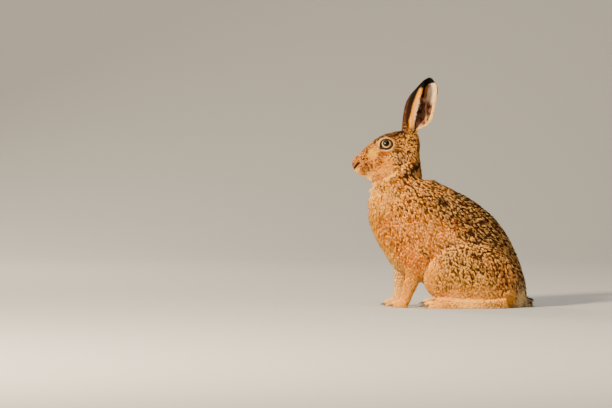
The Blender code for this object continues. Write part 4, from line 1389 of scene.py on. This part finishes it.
def lids(word, side):
    rings = [to_frame(lid_ring(side, around, height)) for around, height in LID_PROFILE]

    def place_of(ring, turn):
        return rings[ring][round(turn / (2 * math.pi) * LID_STEPS) % LID_STEPS]

    bm = bmesh.new()
    tube(bm, LID_STEPS, len(rings), False, place_of)
    bm.normal_update()
    if sum(face.normal.dot(Vector(look_of(side))) for face in bm.faces) < 0:
        bmesh.ops.reverse_faces(bm, faces=bm.faces)
    obj = new_object(f"lids_{word}", bm, lid_paint)
    wall = obj.modifiers.new("wall", "SOLIDIFY")
    wall.thickness = LID_WALL
    applied(obj)
    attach(obj, "root")


skin_tree = BVHTree.FromPolygons(skin_points.tolist(), triangles_of(skin).tolist())
lid_tones = ((0.3, linear(8, 5, 4)), (0.8, linear(28, 17, 11)))
lid_paint = horny_material(
    "lid", 0.5, lid_tones, 1800.0, lift=(0.35, 0.0003), specular_ior_level=0.15
)
for word, side in (("left", -1), ("right", 1)):
    lids(word, side)
print("rings of a lid:", len(LID_PROFILE))

# %% [markdown]
# A hare's claws are dark horn, bent down, with streaks along them. Each solid claw gives the place
# and the size. A tube is narrowed to a point and bent, which is quicker than carving and smoother.

# %% Make the claws
CLAW_SIDES = 12
CLAW_RINGS = 8
CLAW_TIP = 0.08
CLAW_BEND = 0.9


def fine_claw(name):
    """A smooth, bent claw in the place of the solid one."""
    low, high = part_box(name)
    length = high.x - low.x
    half = (high.z - low.z) / 2
    middle = Vector((high.x, (low.y + high.y) / 2, high.z - 0.9 * half))

    def place_of(ring, turn):
        share = ring / (CLAW_RINGS - 1)
        thick = half * ((1 - share) ** 0.6 * 0.9 + CLAW_TIP)
        y, z = 0.75 * thick * math.cos(turn), 0.85 * thick * math.sin(turn)
        return middle + Vector((-share * length, y, z - CLAW_BEND * half * share**2))

    bm = bmesh.new()
    tube(bm, CLAW_SIDES, CLAW_RINGS, True, place_of)
    bmesh.ops.recalc_face_normals(bm, faces=bm.faces)
    obj = new_object(name + "_fine", bm, claw_paint)
    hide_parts(name)
    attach(obj, "root")


claw_tones = ((0.3, linear(34, 26, 22)), (0.7, linear(92, 74, 60)))
claw_paint = horny_material(
    "claw", 0.38, claw_tones, 1.0, stretch=(120, 1400, 1400), lift=(0.3, 0.0002)
)
claws = sorted(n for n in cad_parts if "claw" in n)
for name in claws:
    fine_claw(name)
print("claws:", len(claws))

# %% [markdown]
# A hare feels its way with long, stiff whiskers on the pads of the lip, and a few over the eye.
# Curves with a bevel would do, but tapering tubes are already the mesh that the export wants.

# %% Make the whiskers
WHISKER_RINGS = 9
WHISKER_SIDES = 5
WHISKER_ROWS = 4
WHISKERS_IN_ROW = 5
BROW_WHISKERS = 3
SAG = Vector((0.10, 0, -0.38))
TAPER = 0.85
LIP_THICKNESS = 0.12
BROW_THICKNESS = 0.11


def whisker(bm, root, heading, length, thickness):
    """One whisker that sags along its length."""
    heading = heading.normalized()
    side = heading.cross(Vector((0, 0, 1))).normalized()
    up = side.cross(heading)

    def place_of(ring, turn):
        share = ring / (WHISKER_RINGS - 1)
        radius = thickness * (1 - TAPER * share)
        middle = root + heading * length * share + SAG * length * share**2
        return middle + (side * math.cos(turn) + up * math.sin(turn)) * radius

    tube(bm, WHISKER_SIDES, WHISKER_RINGS, True, place_of)


def whisker_set(word, side):
    bm = bmesh.new()
    dice = np.random.default_rng(40 + side)
    for row, k in np.ndindex(WHISKER_ROWS, WHISKERS_IN_ROW):
        y = 12.0 + 0.9 * k - 0.5 * row
        root = Vector((-149 + 3.4 * k + 0.8 * row, side * y, 262 - 3.2 * row - 0.8 * k))
        rise = 0.18 - 0.2 * row + dice.uniform(-0.08, 0.08)
        heading = Vector((0.35 + 0.09 * k, side * (0.9 - 0.05 * k), rise))
        length = (38 + 6 * k + 3 * row) * dice.uniform(0.85, 1.1)
        whisker(bm, root, heading, length, LIP_THICKNESS)
    for k in range(BROW_WHISKERS):
        heading = Vector((0.2 + 0.2 * k, side * 0.7, 0.75))
        root = Vector((-100 + 5 * k, side * 23, 314))
        whisker(bm, root, heading, 26 + 4 * k, BROW_THICKNESS)
    bmesh.ops.recalc_face_normals(bm, faces=bm.faces)
    for vert in bm.verts:
        vert.co = to_frame(np.array(vert.co))
    obj = new_object(f"whiskers_{word}", bm, whisker_paint)
    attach(obj, "root")


whisker_tones = ((0.35, linear(60, 40, 26)), (0.6, linear(170, 130, 86)))
whisker_paint = horny_material("whisker", 0.4, whisker_tones, 120.0, detail=2.0)
for word, side in (("left", -1), ("right", 1)):
    whisker_set(word, side)
print("whiskers on a side:", WHISKER_ROWS * WHISKERS_IN_ROW + BROW_WHISKERS)

# %% [markdown]
# The floor and backdrop are one pale sweep of paper. It could be a flat floor alone, but then the
# horizon would cut the picture behind the head. Its back is clear, so the hare can be seen from
# behind too. The camera stands far off to the left of the hare, a little above its feet, as the
# photographer's long lens did.

# %% Set the stage
PICTURE_MIDDLE = np.array((-244.2, 0, 190.5))
PICTURE_WIDTH = 1.132
CAMERA_FAR = 13.0
CAMERA_UP = math.radians(2.0)
SENSOR = 36.0
SWEEP_HALF = 14
SWEEP_FRONT = -16
SWEEP_BEND = 2
SWEEP_TOP = 10
FLAT_SHARE, BENT_SHARE = 0.6, 0.8
LAMPS_AIM = Vector((0, 0, 0.2))


def paper_material():
    """Pale paper that is clear from behind, so that it never hides the hare."""
    paper, tree, shader = material("paper", roughness=0.9, base_color=(0.47, 0.46, 0.44, 1))
    side = tree.nodes.new("ShaderNodeNewGeometry")
    clear = tree.nodes.new("ShaderNodeBsdfTransparent")
    choice = tree.nodes.new("ShaderNodeMixShader")
    tree.links.new(side.outputs["Backfacing"], choice.inputs[0])
    tree.links.new(shader.outputs[0], choice.inputs[1])
    tree.links.new(clear.outputs[0], choice.inputs[2])
    tree.links.new(choice.outputs[0], tree.nodes["Material Output"].inputs["Surface"])
    return paper


def sweep():
    bm = bmesh.new()
    bmesh.ops.create_grid(bm, x_segments=2, y_segments=60, size=1)
    for vert in bm.verts:
        share = (vert.co.y + 1) / 2
        x = vert.co.x * SWEEP_HALF
        if share < FLAT_SHARE:
            way = share / FLAT_SHARE
            vert.co = (x, SWEEP_FRONT + way * (SWEEP_BEND - SWEEP_FRONT), 0)
        elif share < BENT_SHARE:
            turn = (share - FLAT_SHARE) / (BENT_SHARE - FLAT_SHARE) * math.pi / 2
            vert.co = (x, SWEEP_BEND * (1 + math.sin(turn)), SWEEP_BEND * (1 - math.cos(turn)))
        else:
            way = (share - BENT_SHARE) / (1 - BENT_SHARE)
            vert.co = (x, 2 * SWEEP_BEND, SWEEP_BEND + way * (SWEEP_TOP - SWEEP_BEND))
    obj = new_object("sweep", bm, paper_material())


sweep()


# %% Set up the lamps
def lamp(name, place, size, power, colour, glint=False):
    light = bpy.data.lights.new(name, "AREA")
    light.shape = "DISK"
    light.size = size
    light.energy = power
    light.color = colour
    obj = placed(name, light)
    obj.location = place
    obj.rotation_euler = (LAMPS_AIM - Vector(place)).to_track_quat("-Z", "Y").to_euler()
    obj.visible_glossy = glint


lamp("key", (-2.1, -2.4, 1.6), 0.6, 365, (1.0, 0.82, 0.57), glint=True)
lamp("fill", (1.8, -2.6, 1.2), 2.4, 20, (1.0, 0.95, 0.88))
lamp("rim", (-1.6, 1.9, 1.4), 0.8, 60, (1.0, 0.88, 0.70))
lamp("top", (-0.5, -1.0, 2.5), 1.4, 24, (0.95, 0.97, 1.0), glint=True)
world = bpy.data.worlds.new("studio")
world.use_nodes = True
sky = world.node_tree.nodes["Background"]
sky.inputs["Color"].default_value = (0.86, 0.84, 0.80, 1)
sky.inputs["Strength"].default_value = 0.3
bpy.context.scene.world = world

# %% Set up the camera
target = Vector(to_frame(PICTURE_MIDDLE[None])[0])
lens = bpy.data.cameras.new("camera")
lens.sensor_width = SENSOR
lens.lens = SENSOR * CAMERA_FAR / PICTURE_WIDTH
lens.clip_end = 100
lens.dof.use_dof = False
camera = placed("camera", lens)
camera.location = target + CAMERA_FAR * Vector((0, -math.cos(CAMERA_UP), math.sin(CAMERA_UP)))
camera.rotation_euler = (target - camera.location).to_track_quat("-Z", "Y").to_euler()
bpy.context.scene.camera = camera
print("lens:", round(lens.lens), "mm")
